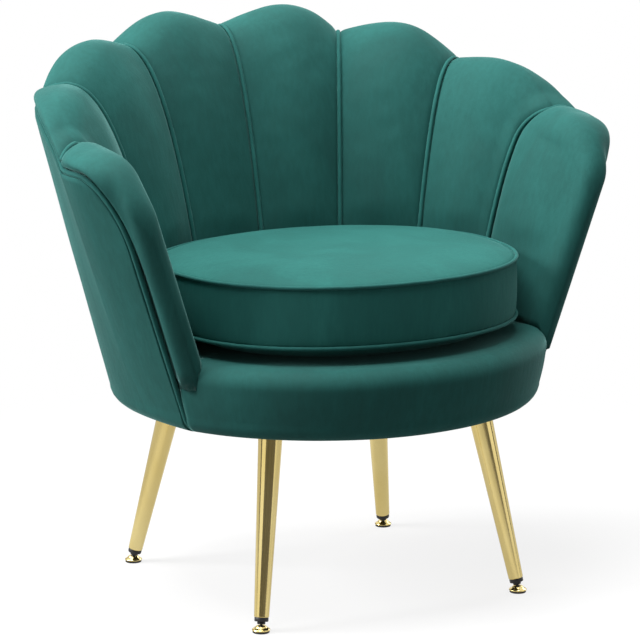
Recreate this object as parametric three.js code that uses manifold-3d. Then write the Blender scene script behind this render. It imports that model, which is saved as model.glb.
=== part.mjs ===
// A scallop back chair: eight fat channel pads stand round a loose cushion on a round seat base,
// a piped outer cover closes the back, and four splayed metal legs end in levelling glides.
// Millimetres, +Z up. The chair faces -Y, and left is -X. The origin is on the floor, under the
// middle of the chair's box. All pieces are made round the plan centre, which lies behind it.

import * as THREE from 'three';
import { mergeVertices } from 'three/addons/utils/BufferGeometryUtils.js';
import Module from 'manifold-3d';

// Clearances
const GAP = 0.3;
const SOFT_GAP = 1;
const OVERRUN = 80;

// Seat base
const BASE_RADIUS = 300;
const BASE_CENTRE_Y = 33;
const BASE_BOTTOM_Z = 258;
const BASE_ROUNDING = 22;
const BAND_TOP_RADIUS = 309;
const BAND_INNER_RADIUS = 251;
const BAND_TUCK_RADIUS = 246;
const BAND_TUCK_THICKNESS = 3;
const DECK_Z = 353;
const DECK_THICKNESS = 24;
const DECK_ROUNDING = 24;

// Rim of the back: the line that the seams' tops follow, seen from above and in height
const RIM_HALF_WIDTH = 370;
const RIM_BACK_DEPTH = 329;
const RIM_Z = 730;
const RIM_FALL = 101;
const RIM_ROLL = 33;
const RIM_FALL_POWER_SHARE = 1.8;

// Channel pads
const PADS_PER_SIDE = 4;
const PAD_ANGLE = THREE.MathUtils.degToRad(27.2);
const PAD_THICKNESS = 38;
const PAD_SHOULDER = 60;
const PAD_BULGE = 15;
const SCALLOP_RISE = 17;
const SEAM_INSET = 138;
const SEAM_DEPTH = 370;
const SEAM_FLARE_SHARE = 0.45;
const CUSHION_BULGE_SHARE = 0.5;
const SEAT_BULGE_SHARE = 0.9;
const EDGE_BULGE_SHARE = 0.1;
const BULGE_ROUNDNESS_SHARE = 0.85;
const SCALLOP_SKEW_SHARE = 1.4;

// Arm fronts
const ARM_DROP = 4;
const ARM_THICKNESS = 46;
const ARM_CORNER_Z = 525;
const ARM_CORNER_START_SHARE = 0.5;
const NOSE_PROUD = 22;
const SEAM_SWEEP_SHARE = 0.37;

// Outer cover
const COVER_THICKNESS = 8;
const COVER_LOW_Z = 280;
const COVER_LOW_ANGLE = THREE.MathUtils.degToRad(28);
const COVER_SIDE_FLARE = 82;
const COVER_SIDE_INSET = 12;
const COVER_BACK_INSET = 21;
const COVER_LOW_HALF_WIDTH = Math.max(RIM_HALF_WIDTH - COVER_SIDE_FLARE, BASE_RADIUS - COVER_SIDE_INSET);
const COVER_LOW_BACK_DEPTH = BASE_RADIUS - COVER_BACK_INSET;
const COVER_LOW_ARM_REACH = 363;
const COVER_ARM_REACH = 372;
const COVER_ARM_TOE_IN = 8.5;
const COVER_DROP = 26;
const COVER_ARM_DROP = 8;
const EDGE_FALL_SHARE = 0.95;
const SHOULDER_PINCH = 12;
const SHOULDER_SET_BACK = 14;
const PINCH_STATION_SHARES = [1.9, 2.9, 3.1, 3.6];
const COVER_ARCH = 8;
const COVER_CORNER_Z = 500;
const COVER_CORNER_START_SHARE = 0.58;
const COVER_CLEARANCE = 2;
const COVER_HEIGHT_SHARES = [0, 0.35, 0.7];
const COVER_TURN_SHARE = 0.3;
const COVER_CROWDING_SHARE = 0.5;

// Piping and welts
const WELT_RADIUS = 3;
const WELT_CLEARANCE = 1.2;
const OUTER_WELT_CLEARANCE = 4;
const WELT_TENSION_SHARE = 0.5;
const PIPING_RADIUS = 3.5;
const PIPING_CLEARANCE = 1.2;
const SHOULDER_CLEARANCE = 4.5;
const CUSHION_PIPING_RADIUS = 3;

// Cushion
const CUSHION_FRONT = 230;
const CUSHION_HALF_WIDTH = 245;
const CUSHION_WIDEST_Y = -20;
const CUSHION_ROUNDNESS_SHARE = 2.15;
const CUSHION_LOW_SEAM_Z = 376;
const CUSHION_HIGH_SEAM_Z = 455;
const CUSHION_CROWN = 20;
const CUSHION_DRAW_IN = 2;
const CUSHION_CLEARANCE = 2;
const CUSHION_TOP_SHARES = [0.3, 0.55, 0.76, 0.9, 0.97];
const CUSHION_CROWN_POWER_SHARE = 3;
const CUSHION_WALL_SHARES = [0.86, 0.6, 0.3];
const CUSHION_UNDERSIDE_SHARES = [[0.96, 0.62], [0.88, 0.2], [0.76, 0]];

// Frame
const FRAME_CLEARANCE = 1.2;
const BLOCK_CLEARANCE = 2;
const RAIL_THICKNESS = 18;
const RAIL_BOTTOM_Z = 267;
const RAIL_TOP_Z = 321;
const BLOCK_DEPTH = 62;
const BLOCK_HEIGHT = 30;
const BLOCK_WIDTH = 84;
const DUST_COVER_THICKNESS = 1.5;
const DUST_COVER_TURN_SHARE = 0.4;
const SPRING_WIRE = 3.6;
const SPRING_COUNT = 4;
const SPRING_SPACING = 96;
const SPRING_WAVE = 22;
const SPRING_WAVES = 5;
const RIB_THICKNESS = 18;
const RIB_SET_BACK = 4.5;
const RIB_CLEARANCE = 2;
const RIB_HEIGHT_SHARES = [0, 0.25, 0.5, 0.75, 1];
const RIB_STATION_SHARES = [-2.45, -0.9, 0.9, 2.45];
const TOP_RAIL_HEIGHT = 26;
const TOP_RAIL_THICKNESS = 14;
const TOP_RAIL_STATION_SHARE = 2.8;

// Legs, from the plan centre: the middle of the foot on the floor, and how far the leg's axis
// moves inward and forward for each millimetre of height
const FRONT_FOOT = { x: 197, y: -173, inwardShare: 0.156, forwardShare: -0.185 };
const REAR_FOOT = { x: 202, y: 213, inwardShare: 0.173, forwardShare: 0.201 };
const LEG_TOP_RADIUS = 16.8;
const LEG_TIP_RADIUS = 9.9;
const LEG_TIP_HEIGHT = 20;
const LEG_BOLT_RADIUS = 4;
const LEG_BOLT_HEIGHT = 31;

// Glides, measured along the leg from the floor
const GLIDE_PAD_HEIGHT = 2.6;
const GLIDE_PAD_RADIUS = 11.2;
const DISC_HEIGHT = 6;
const DISC_RADIUS = 12;
const DISC_TOP_RADIUS = 7.6;
const COLLAR_LENGTH = 5.4;
const COLLAR_RADIUS = 9.3;
const SPIGOT_RADIUS = 7.6;
const SPIGOT_LENGTH = 26;
const STEM_RADIUS = 4;
const STEM_NECK_RADIUS = 5.4;
const STEM_NECK_LENGTH = 3.2;
const STEM_LENGTH = 22;
const BALL_RADIUS = 3.2;
const BALL_CLEARANCE = 0.9;
const BALL_SHARES = [0.25, 0.5, 0.75];
const GLIDE_CHAMFER = 0.6;
const DISC_PROFILE_SHARES = { shoulder: 0.93, shoulderHeight: 0.3, neckHeight: 0.62, mouth: 0.9 };

// Facet counts
const COVER_STEPS = 52;
const BASE_FRONT_STEPS = 18;
const BASE_REAR_STEPS = 26;
const CUSHION_STEPS = 48;
const CUSHION_PIPING_STEPS = 72;
const CUSHION_STATION_SHARE = 0.25;
const CUSHION_FRONT_SHARES = [0, 0.14, 0.28, 0.42, 0.56, 0.7, 0.85];
const ROUND_SIDES = 16;
const TUBE_SIDES = 5;
const WIRE_SIDES = 4;
const SMALL_ROUND_SIDES = 12;
const RAIL_STEPS = 11;
const BLOCK_STEPS = 5;
const TOP_RAIL_STEPS = 28;
const SPRING_STEPS = 3;
const SPRING_TENSION_SHARE = 1;

// The box's depth runs from the base's front to the back's roll, and the origin is in its middle.
const FRONT_REACH = BAND_TOP_RADIUS - BASE_CENTRE_Y;
const BACK_REACH = RIM_BACK_DEPTH + RIM_ROLL;
const PLAN_CENTRE_Y = (FRONT_REACH - BACK_REACH) / 2;

const wasm = await Module();
wasm.setup();

const velvet = { color: 0x2f7d70, roughness: 0.85, metalness: 0 };
const velvetPiping = { color: 0x276b60, roughness: 0.8, metalness: 0 };
const lining = { color: 0x1b1b1c, roughness: 0.95, metalness: 0 };
const wood = { color: 0xb98e5c, roughness: 0.7, metalness: 0 };
const steel = { color: 0x8d9094, roughness: 0.4, metalness: 1 };
const gold = { color: 0xd9b45c, roughness: 0.16, metalness: 1 };
const blackPlastic = { color: 0x141414, roughness: 0.5, metalness: 0 };

const chair = new THREE.Group();
chair.position.y = PLAN_CENTRE_Y;

function add(name, geometry, finish, parent = chair) {
  const mesh = new THREE.Mesh(geometry, new THREE.MeshStandardMaterial(finish));
  mesh.name = name;
  parent.add(mesh);
  return mesh;
}

function clamp01(value) {
  return Math.min(1, Math.max(0, value));
}

function mix(a, b, share) {
  return a + (b - a) * share;
}

function smoothStep(low, high, value) {
  const share = clamp01((value - low) / (high - low));
  return share * share * (3 - 2 * share);
}

// Solid geometry helpers

function bare(geometry) {
  const copy = geometry.index ? geometry.toNonIndexed() : geometry.clone();
  copy.deleteAttribute('normal');
  copy.deleteAttribute('uv');
  return mergeVertices(copy, 1e-4);
}

function toSolid(geometry) {
  const merged = bare(geometry);
  return new wasm.Manifold(new wasm.Mesh({
    numProp: 3,
    vertProperties: new Float32Array(merged.attributes.position.array),
    triVerts: new Uint32Array(merged.index.array),
  }));
}

function fromSolid(solid) {
  const mesh = solid.getMesh();
  const geometry = new THREE.BufferGeometry();
  const points = new Float32Array(mesh.vertProperties);
  geometry.setAttribute('position', new THREE.BufferAttribute(points, 3));
  geometry.setIndex(new THREE.BufferAttribute(new Uint32Array(mesh.triVerts), 1));
  geometry.computeVertexNormals();
  return geometry;
}

function signedVolume(points, triangles) {
  let volume = 0;
  for (let i = 0; i < triangles.length; i += 3) {
    const [a, b, c] = [points[triangles[i]], points[triangles[i + 1]], points[triangles[i + 2]]];
    volume += a.dot(new THREE.Vector3().crossVectors(b, c)) / 6;
  }
  return volume;
}

function meshGeometry(points, triangles) {
  const turned = signedVolume(points, triangles) < 0 ? triangles.slice().reverse() : triangles;
  const geometry = new THREE.BufferGeometry().setFromPoints(points);
  geometry.setIndex(turned);
  geometry.computeVertexNormals();
  return geometry;
}

// A closed solid through a row of closed loops that have the same number of points. The two end
// loops are capped, unless the row itself closes into a ring.
function loftLoops(loops, ring = false) {
  const count = loops[0].length;
  const points = loops.flat();
  const triangles = [];
  const strips = ring ? loops.length : loops.length - 1;
  for (let i = 0; i < strips; i += 1) {
    const here = i * count;
    const next = ((i + 1) % loops.length) * count;
    for (let j = 0; j < count; j += 1) {
      const k = (j + 1) % count;
      triangles.push(here + j, next + j, next + k, here + j, next + k, here + k);
    }
  }
  if (!ring) {
    capLoop(loops[0], 0, false, triangles);
    capLoop(loops[loops.length - 1], (loops.length - 1) * count, true, triangles);
  }
  return meshGeometry(points, triangles);
}

// Caps a loop whose first and last points lie at its foot: both sides climb to the highest point,
// and each triangle takes the side whose next point is lower.
function capLoop(loop, offset, last, triangles) {
  const heights = loop.map((point) => point.z);
  const peak = heights.indexOf(Math.max(...heights));
  let [left, right] = [0, loop.length - 1];
  while (right - left > 1) {
    const climbLeft = right <= peak || (left < peak && heights[left + 1] <= heights[right - 1]);
    const next = climbLeft ? left + 1 : right - 1;
    if (last) triangles.push(offset + left, offset + right, offset + next);
    else triangles.push(offset + left, offset + next, offset + right);
    if (climbLeft) left = next;
    else right = next;
  }
}

function tubeAlong(path, radius, steps, sides = TUBE_SIDES) {
  const section = new THREE.Shape();
  for (let i = 0; i < sides; i += 1) {
    const angle = (i / sides) * Math.PI * 2;
    const point = [radius * Math.cos(angle), radius * Math.sin(angle)];
    if (i === 0) section.moveTo(...point);
    else section.lineTo(...point);
  }
  section.closePath();
  return new THREE.ExtrudeGeometry(section, { steps, bevelEnabled: false, extrudePath: path });
}

// A flat plate in the XY plane between two radii and two angles round the base's centre. Angles
// count from +Y towards +X.
function sectorPlate(inner, outer, from, to, height, steps, holes = []) {
  const shape = new THREE.Shape();
  const spot = (radius, angle) => [radius * Math.sin(angle), radius * Math.cos(angle)];
  for (let i = 0; i <= steps; i += 1) {
    const point = spot(outer, mix(to, from, i / steps));
    if (i === 0) shape.moveTo(...point);
    else shape.lineTo(...point);
  }
  for (let i = 0; i <= steps; i += 1) shape.lineTo(...spot(inner, mix(from, to, i / steps)));
  shape.closePath();
  shape.holes.push(...holes);
  return new THREE.ExtrudeGeometry(shape, { depth: height, bevelEnabled: false });
}

function lathe(profile, sides = ROUND_SIDES) {
  const points = profile.map(([radius, height]) => new THREE.Vector2(radius, height));
  const geometry = new THREE.LatheGeometry(points, sides);
  geometry.rotateX(Math.PI / 2);
  return geometry;
}

const HALF_SHARE = 0.5;

// The wall of the back. A station counts pads from the centre seam: whole numbers are seams,
// -PADS_PER_SIDE and PADS_PER_SIDE are the arm fronts.

const SEAM_LAST = PADS_PER_SIDE - 1;

function rimZ(station) {
  const share = Math.min(1, Math.abs(station) / SEAM_LAST);
  return RIM_Z - RIM_FALL * share ** RIM_FALL_POWER_SHARE;
}

function quarterFall(along) {
  return 1 - Math.sqrt(1 - along * along);
}

// Share of the way along an arm's rounded top corner, which runs from one station to another and
// then on forward.
function cornerShare(station, start, end, ahead = 0, forward = 0) {
  const perStation = PAD_ANGLE * COVER_ARM_REACH;
  const reached = (Math.abs(station) - SEAM_LAST - start) * perStation + forward;
  return clamp01(reached / ((end - SEAM_LAST - start) * perStation + ahead));
}

// Height of the pads' tops before the bulge lifts them: a low arch over each pad, and the
// rounded corner of the arm.
function crestZ(station, forward = 0) {
  const within = Math.abs(station) % 1;
  const arm = Math.abs(station) > SEAM_LAST;
  const arch = arm ? -ARM_DROP * Math.sin(Math.PI * Math.min(within, HALF_SHARE)) : archRise(within);
  const top = rimZ(station) + (Math.abs(station) >= PADS_PER_SIDE ? -ARM_DROP : arch);
  const corner = quarterFall(cornerShare(station, ARM_CORNER_START_SHARE, PADS_PER_SIDE,
    NOSE_PROUD, forward));
  return top - (top - ARM_CORNER_Z) * corner;
}

function archRise(within) {
  return SCALLOP_RISE * Math.sin(Math.PI * within ** SCALLOP_SKEW_SHARE);
}

// The seam between the arm and the back sweeps forward over the roll. These two turn a seam's
// station into the one where it meets the cover's edge, and back.
function sweptStation(station, share = 1) {
  const along = Math.abs(station);
  const sweep = Math.max(0, 1 - Math.abs(along - SEAM_LAST));
  return Math.sign(station) * (along + SEAM_SWEEP_SHARE * sweep * share);
}

function unsweptStation(station) {
  const along = Math.abs(station);
  const seam = SEAM_LAST + SEAM_SWEEP_SHARE;
  const before = SEAM_LAST - 1;
  if (along <= before) return station;
  const back = before + (along - before) / (1 + SEAM_SWEEP_SHARE);
  const arm = SEAM_LAST + (along - seam) / (1 - SEAM_SWEEP_SHARE);
  return Math.sign(station) * (along < seam ? back : arm);
}

// Height of the cover's edge without its arches. Behind the last seam it stays high for long and
// then drops.
function coverRimZ(station) {
  const along = Math.abs(unsweptStation(station));
  const before = SEAM_LAST - 1;
  const low = rimZ(SEAM_LAST) - COVER_ARM_DROP;
  const fall = quarterFall(EDGE_FALL_SHARE * clamp01(along - before)) / quarterFall(EDGE_FALL_SHARE);
  const rim = along < before ? rimZ(along) : mix(rimZ(before), low, fall);
  return rim - COVER_DROP;
}

function coverEdgeZ(station, forward = 0) {
  const along = Math.abs(unsweptStation(station));
  const arch = along > SEAM_LAST ? 0 : COVER_ARCH * Math.sin(Math.PI * (along % 1));
  const top = coverRimZ(station) + arch;
  const end = coverFrontStation();
  const fall = quarterFall(cornerShare(station, COVER_CORNER_START_SHARE, end, 0, forward));
  return top - (top - COVER_CORNER_Z) * fall;
}

// Outer face of the cover: straight lines from the round base up to the wider rim.
function coverPoint(station, z, inward = 0) {
  const low = coverLowPoint(station, inward);
  const angle = station * PAD_ANGLE;
  const halfWidth = RIM_HALF_WIDTH + RIM_ROLL - inward;
  const reach = Math.cos(angle) > 0 ? RIM_BACK_DEPTH + RIM_ROLL - inward : COVER_ARM_REACH;
  const toeIn = COVER_ARM_TOE_IN * Math.max(0, Math.abs(station) - SEAM_LAST) ** 2;
  const [from, full, still, to] = PINCH_STATION_SHARES;
  const along = Math.abs(station);
  const pinch = smoothStep(from, full, along) * (1 - smoothStep(still, to, along));
  const x = halfWidth * Math.sin(angle) - Math.sign(station) * (toeIn + SHOULDER_PINCH * pinch);
  const high = new THREE.Vector3(x, reach * Math.cos(angle) + SHOULDER_SET_BACK * pinch, 0);
  const share = clamp01((z - COVER_LOW_Z) / (coverRimZ(station) - COVER_LOW_Z));
  return low.lerp(high, share).setZ(z);
}

function coverLowPoint(station, inward) {
  const angle = station * COVER_LOW_ANGLE;
  const reach = Math.cos(angle) > 0 ? COVER_LOW_BACK_DEPTH - inward : COVER_LOW_ARM_REACH;
  const x = (COVER_LOW_HALF_WIDTH - inward) * Math.sin(angle);
  return new THREE.Vector3(x, BASE_CENTRE_Y + reach * Math.cos(angle), 0);
}

function rimPoint(station, outward, z) {
  const angle = station * PAD_ANGLE;
  return new THREE.Vector3(
    (RIM_HALF_WIDTH + outward) * Math.sin(angle),
    (RIM_BACK_DEPTH + outward) * Math.cos(angle),
    z,
  );
}

function seamInset(depth) {
  return SEAM_INSET * (Math.max(0, depth) / SEAM_DEPTH) ** SEAM_FLARE_SHARE;
}

// Inner face along the seams, without the pads' bulge.
function valleyPoint(station, z) {
  const depth = crestZ(station) - z;
  const side = Math.sign(station);
  const arm = Math.abs(station) - SEAM_LAST;
  if (arm <= 0) return rimPoint(station, -seamInset(depth), z);
  const seam = rimPoint(side * SEAM_LAST, -seamInset(depth), z);
  return seam.lerp(nosePoint(side, z, depth), clamp01(arm));
}

// Inner face of the arm front, which rounds over into the middle of the arm at its top.
function nosePoint(side, z, depth) {
  const half = ARM_THICKNESS / 2;
  const below = Math.min(depth, half);
  const inward = half + Math.sqrt(half * half - (half - below) ** 2);
  return coverPoint(side * PADS_PER_SIDE, z, inward);
}

// Depth of the step in which the cover and its piping lie.
const BEHIND_COVER = COVER_THICKNESS + COVER_CLEARANCE;

// Shares of a pad's height, from its foot up to the crest, closer together near the crest.
const RISE_SHARES = [0, 0.13, 0.27, 0.33, 0.44, 0.58, 0.71, 0.82, 0.9, 0.96, 0.99];
const ROLL_SHARES = [0.33, 0.67, 1];
const BACK_SHARES = [0.62, 0.3, 0];

function bulgeShare(z, crest) {
  const low = mix(CUSHION_BULGE_SHARE, SEAT_BULGE_SHARE,
    smoothStep(CUSHION_HIGH_SEAM_Z - PAD_BULGE, CUSHION_HIGH_SEAM_Z + 2 * PAD_BULGE, z));
  return mix(low, 1, smoothStep(crest - 2 * PAD_BULGE, crest, z));
}

// Height at which a pad's outer roll ends, above the piping of the cover.
function shoulderZ(station) {
  const room = 2 * PIPING_RADIUS + SHOULDER_CLEARANCE;
  return coverEdgeZ(station, -room) + room;
}

// One upright section of the wall as a closed loop: up the inner face, over the crest, down the
// outer roll, in behind the cover and down the back of the pad.
function padSection(station, bulge) {
  const foot = DECK_Z + GAP;
  const crest = crestZ(station);
  const swept = sweptStation(station);
  const shoulder = shoulderZ(swept);
  const rows = RISE_SHARES.map((share) => {
    const z = mix(foot, crest, share);
    return { point: valleyPoint(station, z), bulge: bulgeShare(z, crest) };
  });
  const top = valleyPoint(station, crest);
  rows.push({ point: top, bulge: 1 });
  const edge = coverPoint(swept, shoulder);
  const outward = coverPoint(station, shoulder).sub(rows[0].point).setZ(0).normalize();
  for (const share of ROLL_SHARES) {
    const angle = share * Math.PI / 2;
    const point = top.clone().lerp(edge, Math.sin(angle));
    point.z = mix(crest, shoulder, 1 - Math.cos(angle));
    rows.push({ point, bulge: mix(1, EDGE_BULGE_SHARE, share), level: share === 1 });
  }
  rows.push({ point: coverPoint(swept, shoulder - GAP, BEHIND_COVER), bulge: 0 });
  const shoulderFoot = Math.max(foot, shoulder - PAD_SHOULDER);
  for (const share of BACK_SHARES) {
    const z = mix(foot, shoulderFoot, share / BACK_SHARES[0]);
    const outer = coverPoint(station, z, BEHIND_COVER);
    const inner = valleyPoint(station, z);
    const room = outer.clone().sub(inner).dot(outward);
    const back = inner.addScaledVector(outward, Math.min(PAD_THICKNESS, room));
    rows.push({ point: back, bulge: 0 });
  }
  return pushOut(rows, outward, bulge);
}

// Moves each point of a section outward along the section's own normal by its share of the bulge.
function pushOut(rows, outward, bulge) {
  return rows.map((row, i) => {
    const before = rows[Math.max(0, i - 1)].point;
    const after = rows[Math.min(rows.length - 1, i + 1)].point;
    const along = after.clone().sub(before);
    const run = along.dot(outward);
    const normal = outward.clone().multiplyScalar(-along.z).setZ(run).normalize();
    if (i === 0 || row.level) normal.setZ(0).normalize();
    const share = bulge < 0 ? Math.ceil(row.bulge) : row.bulge;
    return row.point.clone().addScaledVector(normal, bulge * share);
  });
}

// Moves a whole section sideways, square to the way it faces.
function besideSeam(loop, distance) {
  const outward = loop[loop.length - 1].clone().sub(loop[0]).setZ(0).normalize();
  const across = new THREE.Vector3(outward.y, -outward.x, 0);
  return loop.map((point) => point.clone().addScaledVector(across, distance));
}

// Bulge across a pad: nothing in the middle of the seam, where the section is drawn back to make
// room for the welt, and full in the middle of the pad.
function bulgeAcross(share) {
  return PAD_BULGE * Math.sin(Math.PI * share) ** BULGE_ROUNDNESS_SHARE;
}

const WELT_ROOM = WELT_RADIUS + WELT_CLEARANCE;
const OUTER_WELT_ROOM = WELT_RADIUS + OUTER_WELT_CLEARANCE;
const SEAM_COLUMN_SHARE = 0.06;
const SEAM_DRAW_IN = 2;
const OUTER_SEAM_DRAW_IN = 6;
const PAD_COLUMN_SHARES = [0.15, 0.3, 0.5, 0.7, 0.85];

function padColumns(first, last) {
  const drawIn = (seam) => (Math.abs(seam) === SEAM_LAST ? OUTER_SEAM_DRAW_IN : SEAM_DRAW_IN);
  return [
    padSection(mix(first, last, SEAM_COLUMN_SHARE), -drawIn(first)),
    ...PAD_COLUMN_SHARES.map((share) => padSection(mix(first, last, share), bulgeAcross(share))),
    padSection(mix(last, first, SEAM_COLUMN_SHARE), -drawIn(last)),
  ];
}

// Section of a pad in a seam, drawn back to make room for the welt.
function seamSection(station, aside) {
  const room = Math.abs(station) === SEAM_LAST ? OUTER_WELT_ROOM : WELT_ROOM;
  return besideSeam(padSection(station, -room), aside);
}

function backPad(first) {
  const last = first + 1;
  return loftLoops([
    seamSection(first, GAP / 2),
    ...padColumns(first, last),
    seamSection(last, -GAP / 2),
  ]);
}

const NOSE_COLUMN_SHARE = 0.93;
const NOSE_BACK_SHARE = 0.97;
const NOSE_ANGLE_SHARES = [0, 0.33, 0.62, 0.84, 0.95];

// The arm's pad ends in a rounded nose: its sections grow thinner while they move forward.
function armPad(side) {
  const seam = side * SEAM_LAST;
  const front = side * PADS_PER_SIDE;
  const loops = [seamSection(seam, side * GAP / 2)];
  loops.push(...padColumns(seam, front).slice(0, -1));
  loops.push(padSection(mix(seam, front, NOSE_COLUMN_SHARE), 0));
  loops.push(noseSection(side, 0, -SOFT_GAP, BEHIND_COVER));
  for (const share of NOSE_ANGLE_SHARES) {
    const angle = share * Math.PI / 2;
    loops.push(noseSection(side, angle, NOSE_PROUD * Math.sin(angle)));
  }
  return loftLoops(loops);
}

// One section of the nose, with as many points as a pad's section. Its outer face may be drawn in
// to leave room for the cover's piping.
function noseSection(side, angle, forward, drawnIn = 0) {
  const station = side * PADS_PER_SIDE;
  const half = ARM_THICKNESS / 2 * Math.cos(angle);
  const foot = DECK_Z + GAP;
  const crest = crestZ(station, forward);
  const across = (z, outward) => {
    const below = Math.min(crest - z, half);
    const width = Math.sqrt(Math.max(0, half * half - (half - below) ** 2));
    const inward = Math.max(drawnIn, ARM_THICKNESS / 2 - outward * width);
    const point = coverPoint(station, z, inward);
    point.y -= forward;
    return point;
  };
  const top = across(crest, 0);
  const inner = RISE_SHARES.map((share) => across(mix(foot, crest, share), -1));
  const roll = ROLL_SHARES.map((share) => {
    return across(crest - half * (1 - Math.cos(share * Math.PI / 2)), 1);
  });
  const low = crest - half;
  const outer = [1, ...BACK_SHARES].map((share) => across(mix(foot, low, share * NOSE_BACK_SHARE), 1));
  return [...inner, top, ...roll, ...outer];
}

function coverFrontStation() {
  const armLength = COVER_LOW_ANGLE * COVER_LOW_HALF_WIDTH;
  return PADS_PER_SIDE - 2 * (PIPING_RADIUS + SOFT_GAP) / armLength;
}

function padName(first) {
  return first < 0 ? `pad_left_${-first}` : `pad_right_${first + 1}`;
}

function makePads() {
  for (let first = -SEAM_LAST; first < SEAM_LAST; first += 1) {
    add(padName(first), backPad(first), velvet);
  }
  add(padName(-PADS_PER_SIDE), armPad(-1), velvet);
  add(padName(SEAM_LAST), armPad(1), velvet);
}

// Welts in the seams

const WELT_STEPS = 26;

// The outermost welts lean forward over the roll, away from the steep edge of the pad behind.
const OUTER_WELT_LEAN = 4;

function weltPath(station) {
  const foot = DECK_Z + WELT_RADIUS + GAP;
  const crest = crestZ(station);
  const swept = sweptStation(station);
  const shoulder = shoulderZ(swept);
  const points = RISE_SHARES.map((share) => valleyPoint(station, mix(foot, crest, share)));
  const top = valleyPoint(station, crest);
  const lean = Math.abs(station) === SEAM_LAST ? OUTER_WELT_LEAN : 0;
  points.push(top.clone().add(new THREE.Vector3(0, -lean / 2, lean / 2)));
  const edge = coverPoint(swept, shoulder);
  for (const share of ROLL_SHARES.slice(0, 2)) {
    const angle = share * Math.PI / 2;
    const point = top.clone().lerp(edge, Math.sin(angle));
    point.z = mix(crest, shoulder, 1 - Math.cos(angle));
    point.add(new THREE.Vector3(0, -lean, lean));
    points.push(point);
  }
  return new THREE.CatmullRomCurve3(points, false, 'catmullrom', WELT_TENSION_SHARE);
}

function weltName(station) {
  if (station === 0) return 'welt_centre';
  return station < 0 ? `welt_left_${-station}` : `welt_right_${station}`;
}

function makeWelts() {
  for (let station = -SEAM_LAST; station <= SEAM_LAST; station += 1) {
    add(weltName(station), tubeAlong(weltPath(station), WELT_RADIUS, WELT_STEPS), velvetPiping);
  }
}

// Outer cover and the piping on its edge

function coverColumn(station) {
  const top = coverEdgeZ(station);
  const inner = (z) => coverPoint(station, z, COVER_THICKNESS);
  const turn = coverPoint(station, BASE_BOTTOM_Z, BASE_ROUNDING);
  const heights = COVER_HEIGHT_SHARES.map((share) => mix(COVER_LOW_Z, top, share));
  const tuck = coverPoint(station, BASE_BOTTOM_Z + COVER_THICKNESS, BASE_ROUNDING);
  return [
    turn,
    coverPoint(station, mix(BASE_BOTTOM_Z, COVER_LOW_Z, COVER_TURN_SHARE), BASE_ROUNDING * COVER_TURN_SHARE),
    ...heights.map((z) => coverPoint(station, z)),
    coverPoint(station, top),
    inner(top),
    ...heights.slice().reverse().map((z) => inner(z)),
    tuck,
  ];
}

function makeOuterCover() {
  const end = coverFrontStation();
  const loops = [];
  for (let i = 0; i <= COVER_STEPS; i += 1) {
    const even = i / COVER_STEPS;
    const crowded = (1 - Math.cos(even * Math.PI)) / 2;
    loops.push(coverColumn(mix(-end, end, mix(even, crowded, COVER_CROWDING_SHARE))));
  }
  add('outer_cover', loftLoops(loops), velvet);
}

// Piping along the cover's edge: up one arm front, along the scalloped rim and down the other.
const EDGE_PIPING_STEPS = 124;
const EDGE_HALF_SPOTS = 34;
const EDGE_CROWDING_SHARE = 1.4;
const EDGE_START_SHARE = 0.4;
const EDGE_RISE_SHARES = [0, 0.03, 0.07, 0.15, 0.4, 0.65, 0.85, 0.96, 1];

function edgePipingPath() {
  const end = coverFrontStation();
  const inward = COVER_THICKNESS / 2;
  const low = mix(BASE_BOTTOM_Z, COVER_LOW_Z, EDGE_START_SHARE);
  const top = coverEdgeZ(end);
  const front = (side, share) => {
    const z = mix(low, top, share);
    const below = clamp01((COVER_LOW_Z - z) / (COVER_LOW_Z - BASE_BOTTOM_Z));
    const curl = inward + below ** 2 * BASE_ROUNDING;
    const point = coverPoint(side * end, Math.max(z, COVER_LOW_Z), curl);
    return { point: point.setZ(z), station: side * end };
  };
  const spots = EDGE_RISE_SHARES.map((share) => front(-1, share));
  for (let i = 1 - EDGE_HALF_SPOTS; i < EDGE_HALF_SPOTS; i += 1) {
    const along = Math.abs(i / EDGE_HALF_SPOTS);
    const station = end * Math.sign(i) * (1 - (1 - along) ** EDGE_CROWDING_SHARE);
    spots.push({ point: coverPoint(station, coverEdgeZ(station), inward), station });
  }
  spots.push(...EDGE_RISE_SHARES.slice().reverse().map((share) => front(1, share)));
  const lift = PIPING_RADIUS + PIPING_CLEARANCE;
  const points = spots.map(({ point, station }, i) => {
    const before = spots[Math.max(0, i - 1)].point;
    const after = spots[Math.min(spots.length - 1, i + 1)].point;
    const face = coverPoint(station, COVER_LOW_Z).sub(coverPoint(station, COVER_LOW_Z, inward));
    const away = after.clone().sub(before).cross(face).normalize();
    return point.clone().addScaledVector(away, lift);
  });
  return new THREE.CatmullRomCurve3(points, false, 'centripetal');
}

// Seat base: a padded deck and band in one upholstered cap, open underneath. Behind the arms it
// is narrower, to make room for the outer cover.

// A closed solid from flat rings stacked from a top pole to a bottom pole.
function stackedSolid(top, rings, bottom) {
  const count = rings[0].length;
  const points = [top, ...rings.flat(), bottom];
  const triangles = [];
  const last = points.length - 1;
  const lastRing = 1 + (rings.length - 1) * count;
  for (let j = 0; j < count; j += 1) {
    const k = (j + 1) % count;
    triangles.push(0, 1 + j, 1 + k, last, lastRing + k, lastRing + j);
    for (let i = 0; i + 1 < rings.length; i += 1) {
      const here = 1 + i * count;
      const next = here + count;
      triangles.push(here + j, next + j, next + k, here + j, next + k, here + k);
    }
  }
  return meshGeometry(points, triangles);
}

const DECK_EDGE_SHARES = [0.3, 0.72];
const FRONT_TURN_SHARES = [[0.15, 0.5], [0.45, 0.16], [1, 0]];
const REAR_TURN_SHARES = { inward: 0.35, height: 0.3, foot: 0.65 };

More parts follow.
